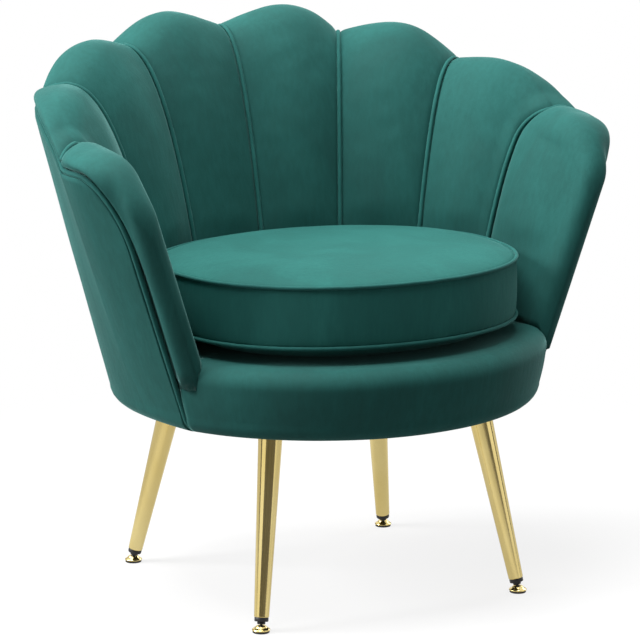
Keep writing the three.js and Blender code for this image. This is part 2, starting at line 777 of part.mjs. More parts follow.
// Each row of the band's profile: how far it lies inside the widest line, and its height. Rows
// after the last of them are the same all round and have a radius instead.
function bandFrontRows() {
  const bulge = BAND_TOP_RADIUS - BASE_RADIUS;
  const [edgeInward, edgeHeight] = DECK_EDGE_SHARES;
  return [
    [DECK_ROUNDING - bulge, DECK_Z],
    [DECK_ROUNDING * edgeInward - bulge, mix(DECK_Z - DECK_ROUNDING, DECK_Z, edgeHeight)],
    [-bulge, DECK_Z - DECK_ROUNDING],
    [0, COVER_LOW_Z],
    ...FRONT_TURN_SHARES.map(([inward, height]) => {
      return [BASE_ROUNDING * inward, mix(BASE_BOTTOM_Z, COVER_LOW_Z, height)];
    }),
  ];
}

function bandRearRows() {
  const inside = COVER_THICKNESS + COVER_CLEARANCE;
  const foot = inside + BASE_ROUNDING * REAR_TURN_SHARES.foot;
  return [
    [inside + DECK_ROUNDING, DECK_Z],
    [inside + DECK_ROUNDING / 2, DECK_Z],
    [inside, DECK_Z - BAND_TUCK_THICKNESS],
    [inside, COVER_LOW_Z],
    [inside + BASE_ROUNDING * REAR_TURN_SHARES.inward, COVER_LOW_Z - BASE_ROUNDING * REAR_TURN_SHARES.height],
    [foot, BASE_BOTTOM_Z + COVER_THICKNESS + SOFT_GAP],
    [foot, BASE_BOTTOM_Z],
  ];
}

function bandInnerRows() {
  const tuckTop = BASE_BOTTOM_Z + BAND_TUCK_THICKNESS;
  return [
    [BAND_TUCK_RADIUS, BASE_BOTTOM_Z],
    [BAND_TUCK_RADIUS, tuckTop],
    [BAND_INNER_RADIUS, tuckTop],
    [BAND_INNER_RADIUS, DECK_Z - DECK_THICKNESS],
  ];
}

function basePoint(radius, angle, z) {
  return new THREE.Vector3(radius * Math.sin(angle), BASE_CENTRE_Y + radius * Math.cos(angle), z);
}

function makeSeatBase() {
  const columns = [];
  for (let i = 0; i <= BASE_REAR_STEPS; i += 1) {
    const station = mix(-PADS_PER_SIDE, PADS_PER_SIDE, i / BASE_REAR_STEPS);
    const at = coverLowPoint(station, 0).setY(coverLowPoint(station, 0).y - BASE_CENTRE_Y);
    const angle = Math.atan2(at.x, at.y);
    const outer = bandRearRows().map(([inward, z]) => {
      return coverLowPoint(station, inward).setZ(z);
    });
    columns.push([...outer, ...bandInnerRows().map(([radius, z]) => basePoint(radius, angle, z))]);
  }
  const end = coverLowPoint(PADS_PER_SIDE, 0);
  const endAngle = Math.atan2(end.x, end.y - BASE_CENTRE_Y);
  const from = endAngle + COVER_CLEARANCE / BASE_RADIUS;
  for (let i = 0; i <= BASE_FRONT_STEPS; i += 1) {
    const angle = mix(from, Math.PI * 2 - from, i / BASE_FRONT_STEPS);
    const outer = bandFrontRows().map(([inward, z]) => basePoint(BASE_RADIUS - inward, angle, z));
    columns.push([...outer, ...bandInnerRows().map(([radius, z]) => basePoint(radius, angle, z))]);
  }
  const rings = columns[0].map((_, row) => columns.map((column) => column[row]));
  const top = basePoint(0, 0, DECK_Z);
  const bottom = basePoint(0, 0, DECK_Z - DECK_THICKNESS);
  add('seat_base_cover', stackedSolid(top, rings, bottom), velvet);
}

// Seat cushion: its outline keeps clear of the pads' inner faces and ends in a front curve.

// The farthest that the cushion may reach towards the wall at a station.
function cushionLimit(station, z, inward) {
  const bulge = PAD_BULGE * bulgeShare(z + CUSHION_PIPING_RADIUS, crestZ(station));
  const inner = valleyPoint(station, z);
  const outward = coverPoint(station, z).sub(inner).setZ(0).normalize();
  const clear = bulge + CUSHION_PIPING_RADIUS + CUSHION_CLEARANCE + inward;
  return inner.addScaledVector(outward, -clear);
}

function cushionOutline(z, inward) {
  const half = [];
  for (let station = 0; station < PADS_PER_SIDE; station += CUSHION_STATION_SHARE) {
    const spot = cushionLimit(station, z, inward);
    spot.x = Math.min(spot.x, CUSHION_HALF_WIDTH - inward);
    if (spot.y < CUSHION_WIDEST_Y + FRONT_REACH * CUSHION_STATION_SHARE / 2) break;
    half.push(spot);
  }
  const armBack = cushionLimit(SEAM_LAST, z, inward);
  const armFront = cushionLimit(PADS_PER_SIDE, z, inward);
  const depth = CUSHION_FRONT + CUSHION_WIDEST_Y - inward;
  for (const share of CUSHION_FRONT_SHARES) {
    const angle = share * Math.PI / 2;
    const power = 2 / CUSHION_ROUNDNESS_SHARE;
    const y = CUSHION_WIDEST_Y - depth * Math.sin(angle) ** power;
    const along = clamp01((armBack.y - y) / (armBack.y - armFront.y));
    const free = (CUSHION_HALF_WIDTH - inward) * Math.cos(angle) ** power;
    half.push(new THREE.Vector3(Math.min(free, mix(armBack.x, armFront.x, along)), y, z));
  }
  const mirrored = half.slice(1).reverse().map(({ x, y }) => new THREE.Vector3(-x, y, z));
  const points = [...half, new THREE.Vector3(0, inward - CUSHION_FRONT, z), ...mirrored];
  const curve = new THREE.CatmullRomCurve3(points, true, 'centripetal');
  return curve.getSpacedPoints(CUSHION_STEPS).slice(0, CUSHION_STEPS);
}

function makeCushion() {
  const seat = CUSHION_PIPING_RADIUS + 2 * GAP;
  const low = cushionOutline(CUSHION_LOW_SEAM_Z, seat);
  const high = cushionOutline(CUSHION_HIGH_SEAM_Z, seat);
  const middle = (ring) => new THREE.Box3().setFromPoints(ring).getCenter(new THREE.Vector3());
  const shrink = (ring, share, z) => {
    const centre = middle(ring);
    return ring.map((point) => centre.clone().lerp(point, share).setZ(z));
  };
  const deck = DECK_Z + GAP;
  const rings = [];
  for (const share of CUSHION_TOP_SHARES) {
    const rise = CUSHION_CROWN * (1 - share ** CUSHION_CROWN_POWER_SHARE);
    rings.push(shrink(high, share, CUSHION_HIGH_SEAM_Z + rise));
  }
  rings.push(high);
  for (const share of CUSHION_WALL_SHARES) {
    const wall = high.map((point, i) => point.clone().lerp(low[i], 1 - share));
    const centre = middle(wall);
    rings.push(wall.map((point) => {
      const inward = centre.clone().setZ(point.z).sub(point).normalize();
      return point.clone().addScaledVector(inward, CUSHION_DRAW_IN * Math.sin(Math.PI * share));
    }));
  }
  rings.push(low);
  for (const [share, rise] of CUSHION_UNDERSIDE_SHARES) {
    rings.push(shrink(low, share, mix(deck, CUSHION_LOW_SEAM_Z, rise)));
  }
  const top = middle(high).setZ(CUSHION_HIGH_SEAM_Z + CUSHION_CROWN);
  add('seat_cushion', stackedSolid(top, rings, middle(low).setZ(deck)), velvet);
  makeCushionPiping('cushion_piping_top', CUSHION_HIGH_SEAM_Z);
  makeCushionPiping('cushion_piping_bottom', CUSHION_LOW_SEAM_Z);
}

function makeCushionPiping(name, z) {
  const curve = new THREE.CatmullRomCurve3(cushionOutline(z, 0), true, 'centripetal');
  const tube = new THREE.TubeGeometry(curve, CUSHION_PIPING_STEPS, CUSHION_PIPING_RADIUS, TUBE_SIDES, true);
  add(name, tube, velvetPiping);
}

// Wooden frame, a little inside the band, whose inner face is a polygon

const FRAME_RADIUS = BAND_INNER_RADIUS - FRAME_CLEARANCE;

function makeSeatRails() {
  const outer = FRAME_RADIUS;
  const cut = GAP / outer;
  const quarter = Math.PI / 2;
  const names = ['seat_rail_back', 'seat_rail_right', 'seat_rail_front', 'seat_rail_left'];
  names.forEach((name, i) => {
    const from = (i - HALF_SHARE) * quarter + cut;
    const to = (i + HALF_SHARE) * quarter - cut;
    const height = RAIL_TOP_Z - RAIL_BOTTOM_Z;
    const rail = sectorPlate(outer - RAIL_THICKNESS, outer, from, to, height, RAIL_STEPS);
    rail.translate(0, BASE_CENTRE_Y, RAIL_BOTTOM_Z);
    add(name, rail, wood);
  });
}

function roundHole(x, y, radius) {
  const hole = new THREE.Path();
  for (let i = 0; i < ROUND_SIDES; i += 1) {
    const angle = -(i / ROUND_SIDES) * Math.PI * 2;
    const spot = [x + radius * Math.cos(angle), y + radius * Math.sin(angle)];
    if (i === 0) hole.moveTo(...spot);
    else hole.lineTo(...spot);
  }
  hole.closePath();
  return hole;
}

// The four legs: which foot they stand on and which side they are on.
const LEGS = [
  { name: 'front_left', foot: FRONT_FOOT, side: -1 },
  { name: 'front_right', foot: FRONT_FOOT, side: 1 },
  { name: 'rear_left', foot: REAR_FOOT, side: -1 },
  { name: 'rear_right', foot: REAR_FOOT, side: 1 },
];

const DUST_COVER_Z = RAIL_BOTTOM_Z - GAP - DUST_COVER_THICKNESS;
const LEG_TOP_Z = DUST_COVER_Z - GAP;

function legAxisAt(leg, z) {
  const x = leg.side * (leg.foot.x - leg.foot.inwardShare * z);
  return new THREE.Vector3(x, leg.foot.y - leg.foot.forwardShare * z, z);
}

function makeCornerBlocks() {
  const outer = FRAME_RADIUS - RAIL_THICKNESS - BLOCK_CLEARANCE;
  for (const leg of LEGS) {
    const top = legAxisAt(leg, LEG_TOP_Z);
    const angle = Math.atan2(top.x, top.y - BASE_CENTRE_Y);
    const half = BLOCK_WIDTH / 2 / outer;
    const hole = roundHole(top.x, top.y - BASE_CENTRE_Y, LEG_BOLT_RADIUS + GAP);
    const block = sectorPlate(outer - BLOCK_DEPTH, outer, angle - half, angle + half,
      BLOCK_HEIGHT, BLOCK_STEPS, [hole]);
    block.translate(0, BASE_CENTRE_Y, RAIL_BOTTOM_Z);
    add(`corner_block_${leg.name}`, block, wood);
  }
}

function makeDustCover() {
  const shape = new THREE.Shape();
  const radius = FRAME_RADIUS;
  const sides = 2 * ROUND_SIDES;
  for (let i = 0; i < sides; i += 1) {
    const angle = ((i + DUST_COVER_TURN_SHARE) / sides) * Math.PI * 2;
    const spot = [radius * Math.cos(angle), radius * Math.sin(angle)];
    if (i === 0) shape.moveTo(...spot);
    else shape.lineTo(...spot);
  }
  shape.closePath();
  for (const leg of LEGS) {
    const top = legAxisAt(leg, LEG_TOP_Z);
    shape.holes.push(roundHole(top.x, top.y - BASE_CENTRE_Y, LEG_BOLT_RADIUS + SOFT_GAP));
  }
  const sheet = new THREE.ExtrudeGeometry(shape, {
    depth: DUST_COVER_THICKNESS,
    bevelEnabled: false,
  });
  sheet.translate(0, BASE_CENTRE_Y, DUST_COVER_Z);
  add('dust_cover', sheet, lining);
}

function makeSprings() {
  const radius = SPRING_WIRE / 2;
  const seat = FRAME_RADIUS - RAIL_THICKNESS / 2;
  for (let i = 0; i < SPRING_COUNT; i += 1) {
    const x = (i - (SPRING_COUNT - 1) / 2) * SPRING_SPACING;
    const half = Math.sqrt(seat * seat - x * x);
    const turns = 2 * SPRING_WAVES;
    const points = [];
    for (let k = 0; k <= turns; k += 1) {
      const sway = k === 0 || k === turns ? 0 : SPRING_WAVE * (k % 2 ? 1 : -1);
      const y = BASE_CENTRE_Y + mix(-half, half, k / turns);
      points.push(new THREE.Vector3(x + sway, y, RAIL_TOP_Z + radius + GAP));
    }
    const path = new THREE.CatmullRomCurve3(points, false, 'catmullrom', SPRING_TENSION_SHARE);
    add(`seat_spring_${i + 1}`, tubeAlong(path, radius, SPRING_STEPS * turns, WIRE_SIDES), steel);
  }
}

// Height below which the pads keep their even thickness and the frame stands behind them.
function frameTopZ(station) {
  return rimZ(station) - COVER_DROP + 2 * PIPING_RADIUS - PAD_SHOULDER - SOFT_GAP;
}

function makeBackRibs() {
  const names = ['left_outer', 'left_inner', 'right_inner', 'right_outer'];
  const halfWidth = RIB_THICKNESS / 2 / (PAD_ANGLE * COVER_ARM_REACH);
  RIB_STATION_SHARES.forEach((station, i) => {
    const loops = [-halfWidth, halfWidth].map((shift) => ribSection(station + shift));
    add(`back_rib_${names[i]}`, loftLoops(loops), wood);
  });
}

function ribSection(station) {
  const foot = DECK_Z + GAP;
  const top = frameTopZ(station) - TOP_RAIL_HEIGHT - RIB_CLEARANCE;
  const heights = RIB_HEIGHT_SHARES.map((share) => mix(foot, top, share));
  const inner = heights.map((z) => {
    const point = valleyPoint(station, z);
    const outward = coverPoint(station, z).sub(point).setZ(0).normalize();
    return point.addScaledVector(outward, PAD_THICKNESS + RIB_SET_BACK);
  });
  const outer = heights.map((z) => coverPoint(station, z, COVER_THICKNESS + RIB_CLEARANCE));
  return [...inner, ...outer.reverse()];
}

function makeTopRail() {
  const loops = [];
  for (let i = 0; i <= TOP_RAIL_STEPS; i += 1) {
    const station = mix(-TOP_RAIL_STATION_SHARE, TOP_RAIL_STATION_SHARE, i / TOP_RAIL_STEPS);
    const top = frameTopZ(station);
    const low = top - TOP_RAIL_HEIGHT;
    const near = COVER_THICKNESS + COVER_CLEARANCE;
    const far = near + TOP_RAIL_THICKNESS;
    loops.push([
      coverPoint(station, low, far),
      coverPoint(station, top, far),
      coverPoint(station, top, near),
      coverPoint(station, low, near),
    ]);
  }
  add('back_top_rail', loftLoops(loops), wood);
}

// Legs and glides. Each is turned about +Z from the floor and then tilted onto the leg's axis.

function legFrame(leg) {
  const up = legAxisAt(leg, 1).sub(legAxisAt(leg, 0)).normalize();
  const turn = new THREE.Quaternion().setFromUnitVectors(new THREE.Vector3(0, 0, 1), up);
  return { up, turn };
}

function tilted(geometry, leg) {
  const { turn } = legFrame(leg);
  return geometry.applyQuaternion(turn).translate(...legAxisAt(leg, 0).toArray());
}

function makeLeg(leg) {
  const { up } = legFrame(leg);
  const length = LEG_TOP_Z / up.z;
  const bore = SPIGOT_RADIUS + GAP;
  const boreTop = LEG_TIP_HEIGHT + SPIGOT_LENGTH;
  const slope = (LEG_TOP_RADIUS - LEG_TIP_RADIUS) / (length - LEG_TIP_HEIGHT);
  const body = tilted(lathe([
    [0, boreTop],
    [bore, boreTop],
    [bore, LEG_TIP_HEIGHT],
    [LEG_TIP_RADIUS, LEG_TIP_HEIGHT],
    [LEG_TOP_RADIUS + slope * OVERRUN, length + OVERRUN],
    [0, length + OVERRUN],
  ]), leg);
  const cutter = new THREE.BoxGeometry(4 * OVERRUN, 4 * OVERRUN, 4 * OVERRUN);
  const top = legAxisAt(leg, LEG_TOP_Z);
  cutter.translate(top.x, top.y, LEG_TOP_Z + 2 * OVERRUN);
  const bolt = lathe([[0, -SPIGOT_LENGTH], [LEG_BOLT_RADIUS, -SPIGOT_LENGTH],
    [LEG_BOLT_RADIUS, LEG_BOLT_HEIGHT], [0, LEG_BOLT_HEIGHT]]);
  bolt.translate(top.x, top.y, LEG_TOP_Z);
  const solid = toSolid(body).subtract(toSolid(cutter)).add(toSolid(bolt));
  add(`leg_${leg.name}`, fromSolid(solid), gold);
}

function makeGlide(leg) {
  const tip = LEG_TIP_HEIGHT - GAP;
  const collarFoot = tip - COLLAR_LENGTH;
  const threadHole = STEM_RADIUS + GAP;
  const collarTop = LEG_TIP_HEIGHT + SPIGOT_LENGTH - GAP;
  const collar = lathe([
    [threadHole, collarFoot],
    [COLLAR_RADIUS - GLIDE_CHAMFER, collarFoot],
    [COLLAR_RADIUS, collarFoot + GLIDE_CHAMFER],
    [COLLAR_RADIUS, tip],
    [SPIGOT_RADIUS, tip],
    [SPIGOT_RADIUS, collarTop],
    [threadHole, collarTop],
    [threadHole, collarFoot],
  ], SMALL_ROUND_SIDES);
  add(`collar_${leg.name}`, tilted(collar, leg), blackPlastic);
  const discTop = GLIDE_PAD_HEIGHT + DISC_HEIGHT;
  const ballHeight = GLIDE_PAD_HEIGHT + GAP + BALL_RADIUS + BALL_CLEARANCE;
  const neckTop = collarFoot - GAP;
  const neckFoot = neckTop - STEM_NECK_LENGTH;
  const stem = [[0, ballHeight - BALL_RADIUS]];
  for (const share of BALL_SHARES) {
    const angle = share * Math.PI;
    stem.push([BALL_RADIUS * Math.sin(angle), ballHeight - BALL_RADIUS * Math.cos(angle)]);
  }
  const waist = BALL_RADIUS / 2;
  stem.push([waist, ballHeight + BALL_RADIUS], [waist, neckFoot], [STEM_NECK_RADIUS, neckFoot],
    [STEM_NECK_RADIUS, neckTop], [STEM_RADIUS, neckTop], [STEM_RADIUS, neckTop + STEM_LENGTH],
    [0, neckTop + STEM_LENGTH]);
  add(`glide_stem_${leg.name}`, tilted(lathe(stem, SMALL_ROUND_SIDES), leg), blackPlastic);
  const mouth = BALL_RADIUS + SOFT_GAP;
  const shares = DISC_PROFILE_SHARES;
  const foot = GLIDE_PAD_HEIGHT + GAP;
  const disc = lathe([
    [0, foot],
    [DISC_RADIUS - GAP, foot],
    [DISC_RADIUS, foot + GLIDE_CHAMFER],
    [DISC_RADIUS * shares.shoulder, foot + DISC_HEIGHT * shares.shoulderHeight],
    [DISC_TOP_RADIUS, foot + DISC_HEIGHT * shares.neckHeight],
    [DISC_TOP_RADIUS * shares.mouth, discTop],
    [mouth, discTop],
    [mouth, foot + GLIDE_CHAMFER],
    [0, foot + GLIDE_CHAMFER],
  ]);
  const centre = legAxisAt(leg, ballHeight);
  const place = (geometry) => geometry.translate(centre.x, centre.y, 0);
  add(`glide_disc_${leg.name}`, place(disc), gold);
  const pad = lathe([[0, 0], [GLIDE_PAD_RADIUS, 0], [GLIDE_PAD_RADIUS, GLIDE_PAD_HEIGHT],
    [0, GLIDE_PAD_HEIGHT]]);
  add(`glide_pad_${leg.name}`, place(pad), blackPlastic);
}

makePads();
makeWelts();
makeOuterCover();
add('outer_cover_piping', tubeAlong(edgePipingPath(), PIPING_RADIUS, EDGE_PIPING_STEPS),
  velvetPiping);
makeSeatBase();
makeCushion();
makeSeatRails();
makeCornerBlocks();
makeDustCover();
makeSprings();
makeBackRibs();
makeTopRail();
for (const leg of LEGS) {
  makeLeg(leg);
  makeGlide(leg);
}

export default chair;
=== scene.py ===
from math import atan2, ceil, cos, hypot, inf, pi, radians, sin, sqrt
import bpy
import bmesh
import numpy as np
from numpy.linalg import norm
from mathutils import Matrix, Vector, noise


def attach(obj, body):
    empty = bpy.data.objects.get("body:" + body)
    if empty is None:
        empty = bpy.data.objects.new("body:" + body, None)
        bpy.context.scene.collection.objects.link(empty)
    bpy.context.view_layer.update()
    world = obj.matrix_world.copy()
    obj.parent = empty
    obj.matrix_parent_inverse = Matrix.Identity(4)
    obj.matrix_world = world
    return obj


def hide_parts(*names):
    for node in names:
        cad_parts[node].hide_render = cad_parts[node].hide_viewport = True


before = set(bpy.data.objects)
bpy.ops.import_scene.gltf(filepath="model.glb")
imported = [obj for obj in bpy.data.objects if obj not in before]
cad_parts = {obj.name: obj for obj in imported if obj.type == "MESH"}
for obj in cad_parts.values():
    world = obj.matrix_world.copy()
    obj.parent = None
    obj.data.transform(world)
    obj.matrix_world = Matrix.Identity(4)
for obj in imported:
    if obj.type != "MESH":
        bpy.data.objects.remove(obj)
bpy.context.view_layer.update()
SCENE = bpy.context.scene

# The wall's sizes repeat the CAD model's, in millimetres, round the plan centre.
MM = 0.001
QUARTER_TURN = pi / 2
SOFT_GAP = 1.0
PLAN_CENTRE_Y = -43.0
PLAN_SHIFT = (0, PLAN_CENTRE_Y * MM, 0)
BASE_RADIUS = 300.0
BASE_CENTRE_Y = 33.0
BASE_BOTTOM_Z = 258.0
BASE_ROUNDING = 22.0
BAND_TOP_RADIUS = 309.0
BAND_INNER_RADIUS = 251.0
BAND_TUCK_RADIUS = 246.0
DECK_Z = 353.0
DECK_THICKNESS = 24.0
DECK_ROUNDING = 24.0
RIM_HALF_WIDTH = 370.0
RIM_BACK_DEPTH = 329.0
RIM_Z = 730.0
RIM_FALL = 101.0
RIM_ROLL = 33.0
RIM_FALL_POWER = 1.8
PADS_PER_SIDE = 4
SEAM_LAST = 3
PAD_ANGLE = radians(27.2)
PAD_THICKNESS = 38.0
PAD_SHOULDER = 60.0
PAD_BULGE = 15.0
SCALLOP_RISE = 17.0
SCALLOP_SKEW = 1.4
SEAM_INSET = 138.0
SEAM_DEPTH = 370.0
SEAM_FLARE = 0.45
CUSHION_BULGE = 0.5
SEAT_BULGE = 0.9
EDGE_BULGE = 0.1
BULGE_ROUNDNESS = 0.72
ARM_DROP = 4.0
ARM_THICKNESS = 46.0
ARM_CORNER_Z = 525.0
ARM_CORNER_START = 0.5
NOSE_PROUD = 22.0
SEAM_SWEEP = 0.37
CREST_SWEEP = 0.17
CREST_SWEEP_DEPTH = 42.0
COVER_THICKNESS = 8.0
COVER_LOW_Z = 280.0
COVER_LOW_ANGLE = radians(28)
COVER_LOW_HALF_WIDTH = RIM_HALF_WIDTH - 82.0
COVER_LOW_BACK_DEPTH = RIM_BACK_DEPTH - 50.0
COVER_LOW_ARM_REACH = 363.0
COVER_ARM_REACH = 372.0
COVER_ARM_TOE_IN = 8.5
COVER_DROP = 26.0
COVER_ARM_DROP = 8.0
COVER_ARCH = 8.0
COVER_CORNER_Z = 500.0
COVER_CORNER_START = 0.58
EDGE_FALL = 0.95
SHOULDER_PINCH = 12.0
SHOULDER_SET_BACK = 14.0
PINCH_STATIONS = (1.9, 2.9, 3.1, 3.6)
WELT_RADIUS = 3.0
WELT_LEAN = 4.0
WELT_LIFT = 2.6
ARM_EASE = 4.5
ARM_SEAM_WIDTH = 0.13
NOSE_TUCK = 34.0
NOSE_TUCK_START = 64.0
PIPING_RADIUS = 3.5
CUSHION_PIPING_RADIUS = 3.0
CORD_SIDES = 14
CORD_UNEVENNESS = 0.06
CUSHION_FRONT = 230.0
CUSHION_HALF_WIDTH = 245.0
CUSHION_WIDEST_Y = -20.0
CUSHION_ROUNDNESS = 2.15
CUSHION_LOW_SEAM_Z = 376.0
CUSHION_HIGH_SEAM_Z = 455.0
CUSHION_CROWN = 20.0
BEHIND_COVER = COVER_THICKNESS + 2 * SOFT_GAP
SHOULDER_ROOM = 2 * PIPING_RADIUS + 2.2 * SOFT_GAP
FRONT_REACH = BAND_TOP_RADIUS - BASE_CENTRE_Y
FRONT_STATION = PADS_PER_SIDE - 2 * (PIPING_RADIUS + SOFT_GAP) / (COVER_LOW_ANGLE * COVER_LOW_HALF_WIDTH)
PAD_FOOT_Z = DECK_Z + SOFT_GAP


def clamp01(v):
    return min(1.0, max(0.0, v))


def mix(a, b, t):
    return a + (b - a) * t


def smooth(low, high, v):
    t = clamp01((v - low) / (high - low))
    return t * t * (3 - 2 * t)


def sign(v):
    return (v > 0) - (v < 0)


def point(x, y, z):
    return np.array((x, y, z), float)


def at_height(place, z):
    return point(place[0], place[1], z)


def unit(v):
    return v / (norm(v) + 1e-12)


def flat(v):
    return unit(v * (1, 1, 0))


# Lines of the wall. A station counts pads from the centre seam.

def rim_z(station):
    return RIM_Z - RIM_FALL * min(1, abs(station) / SEAM_LAST) ** RIM_FALL_POWER


def quarter_fall(along):
    return 1 - sqrt(max(0.0, 1 - along * along))


def corner_share(station, start, end, ahead=0.0, forward=0.0):
    per_station = PAD_ANGLE * COVER_ARM_REACH
    reached = (abs(station) - SEAM_LAST - start) * per_station + forward
    return clamp01(reached / ((end - SEAM_LAST - start) * per_station + ahead))


def crest_z(station, forward=0.0):
    along = abs(station)
    within = along % 1
    if along > SEAM_LAST:
        rise = -ARM_DROP * sin(pi * min(within, 0.5)) if along < PADS_PER_SIDE else -ARM_DROP
    else:
        rise = SCALLOP_RISE * sin(pi * within ** SCALLOP_SKEW)
    top = rim_z(station) + rise
    corner = quarter_fall(corner_share(station, ARM_CORNER_START, PADS_PER_SIDE, NOSE_PROUD, forward))
    return top - (top - ARM_CORNER_Z) * corner


def swept(station):
    along = abs(station)
    return sign(station) * (along + SEAM_SWEEP * max(0.0, 1 - abs(along - SEAM_LAST)))


def leaned(station, depth):
    """Station inside at a depth below the crest: the arm's seam turns forward as it nears the crest."""
    along = abs(station)
    near = CREST_SWEEP * max(0.0, 1 - abs(along - SEAM_LAST))
    inset = (clamp01(depth / CREST_SWEEP_DEPTH)) ** SEAM_FLARE
    return sign(station) * (along + near * (1 - smooth(0, 1, inset)))


def pad_crest_z(station):
    at_crest = leaned(station, 0)
    if abs(station) >= SEAM_LAST:
        return crest_z(at_crest)
    seam = leaned(SEAM_LAST, 0)
    drop = (crest_z(seam) - crest_z(SEAM_LAST)) * max(0.0, abs(station) - SEAM_LAST + 1) ** 2
    return crest_z(station) + rim_z(at_crest) - rim_z(station) + drop


def inside_point(station, crest, z):
    """A point of the wall's inside in plan, for a pad section whose crest stands at the given height."""
    at = leaned(station, crest - z)
    return at_height(valley_point(at, z + crest_z(at) - crest), z)


def unswept(station):
    along = abs(station)
    seam = SEAM_LAST + SEAM_SWEEP
    before = SEAM_LAST - 1
    if along <= before:
        return station
    back = before + (along - before) / (1 + SEAM_SWEEP)
    arm = SEAM_LAST + (along - seam) / (1 - SEAM_SWEEP)
    return sign(station) * (back if along < seam else arm)


def cover_rim_z(station):
    along = abs(unswept(station))
    before = SEAM_LAST - 1
    low = rim_z(SEAM_LAST) - COVER_ARM_DROP
    fall = quarter_fall(EDGE_FALL * clamp01(along - before)) / quarter_fall(EDGE_FALL)
    return (rim_z(along) if along < before else mix(rim_z(before), low, fall)) - COVER_DROP


def cover_edge_z(station, forward=0.0):
    along = abs(unswept(station))
    arch = 0.0 if along > SEAM_LAST else COVER_ARCH * sin(pi * (along % 1))
    top = cover_rim_z(station) + arch
    fall = quarter_fall(corner_share(station, COVER_CORNER_START, FRONT_STATION, 0, forward))
    return top - (top - COVER_CORNER_Z) * fall


def cover_low(station, inward):
    angle = station * COVER_LOW_ANGLE
    reach = COVER_LOW_BACK_DEPTH - inward if cos(angle) > 0 else COVER_LOW_ARM_REACH
    return point((COVER_LOW_HALF_WIDTH - inward) * sin(angle), BASE_CENTRE_Y + reach * cos(angle), 0)


def cover_point(station, z, inward=0.0):
    angle = station * PAD_ANGLE
    along = abs(station)
    reach = RIM_BACK_DEPTH + RIM_ROLL - inward if cos(angle) > 0 else COVER_ARM_REACH
    toe_in = COVER_ARM_TOE_IN * max(0.0, along - SEAM_LAST) ** 2
    start, full, still, end = PINCH_STATIONS
    pinch = smooth(start, full, along) * (1 - smooth(still, end, along))
    x = (RIM_HALF_WIDTH + RIM_ROLL - inward) * sin(angle) - sign(station) * (toe_in + SHOULDER_PINCH * pinch)
    high = point(x, reach * cos(angle) + SHOULDER_SET_BACK * pinch, 0)
    low = cover_low(station, inward)
    return at_height(mix(low, high, clamp01((z - COVER_LOW_Z) / (cover_rim_z(station) - COVER_LOW_Z))), z)


def rim_point(station, outward, z):
    angle = station * PAD_ANGLE
    return point((RIM_HALF_WIDTH + outward) * sin(angle), (RIM_BACK_DEPTH + outward) * cos(angle), z)


def seam_inset(depth):
    return SEAM_INSET * (max(0.0, depth) / SEAM_DEPTH) ** SEAM_FLARE


def nose_point(side, z, depth):
    half = ARM_THICKNESS / 2
    below = max(0.0, min(depth, half))
    inward = half + sqrt(max(0.0, half * half - (half - below) ** 2))
    return cover_point(side * PADS_PER_SIDE, z, inward)


def valley_point(station, z):
    depth = crest_z(station) - z
    side = sign(station)
    arm = abs(station) - SEAM_LAST
    if arm <= 0:
        return rim_point(station, -seam_inset(depth), z)
    seam = rim_point(side * SEAM_LAST, -seam_inset(depth), z)
    return seam + (nose_point(side, z, depth) - seam) * clamp01(arm)


def shoulder_z(station):
    return cover_edge_z(station, -SHOULDER_ROOM) + SHOULDER_ROOM


def bulge_share(z, crest):
    low = mix(CUSHION_BULGE, SEAT_BULGE,
              smooth(CUSHION_HIGH_SEAM_Z - PAD_BULGE, CUSHION_HIGH_SEAM_Z + 2 * PAD_BULGE, z))
    return mix(low, 1, smooth(crest - 2 * PAD_BULGE, crest, z))


def waver(place, scale):
    return noise.noise(Vector(place * scale))


def set_all(thing, values):
    for key, value in values.items():
        setattr(thing, key, value)


# Mesh helpers

def circle(count):
    return [2 * pi * j / count for j in range(count)]


def quarter(steps, first=1, turn=1.0):
    """Steps along a quarter turn, as the share of the way, the rise of the sine and the fall of the cosine."""
    for i in range(first, steps + 1):
        angle = i / steps * turn * QUARTER_TURN
        yield i / steps, sin(angle), 1 - cos(angle)


def new_object(name, verts, faces):
    """A smooth object from points in millimetres round the plan centre."""
    data = np.asarray(verts, float) * MM + PLAN_SHIFT
    mesh = bpy.data.meshes.new(name)
    mesh.from_pydata(data.tolist(), [], faces)
    mesh.validate()
    builder = bmesh.new()
    builder.from_mesh(mesh)
    bmesh.ops.remove_doubles(builder, verts=builder.verts, dist=1e-6)
    bmesh.ops.recalc_face_normals(builder, faces=builder.faces)
    builder.to_mesh(mesh)
    builder.free()
    mesh.polygons.foreach_set("use_smooth", [True] * len(mesh.polygons))
    mesh.update()
    obj = bpy.data.objects.new(name, mesh)
    SCENE.collection.objects.link(obj)
    return obj


def ring_faces(rings, count, close_rings=False):
    """Quads between closed rings of points, stored ring by ring."""
    faces = []
    for i in range(rings if close_rings else rings - 1):
        a, b = i * count, (i + 1) % rings * count
        for j in range(count):
            k = (j + 1) % count
            faces.append((a + j, a + k, b + k, b + j))
    return faces


def closed_solid(name, rings, centres=None):
    """A closed solid through rings of the same count, with a fan at both ends."""
    count = len(rings[0])
    verts = [p for ring in rings for p in ring]
    faces = ring_faces(len(rings), count)
    for centre, start in ((len(verts), 0), (len(verts) + 1, len(verts) - count)):
        faces += [(start + j, start + (j + 1) % count, centre) for j in range(count)]
    verts += centres or (np.mean(rings[0], axis=0), np.mean(rings[-1], axis=0))
    return new_object(name, verts, faces)


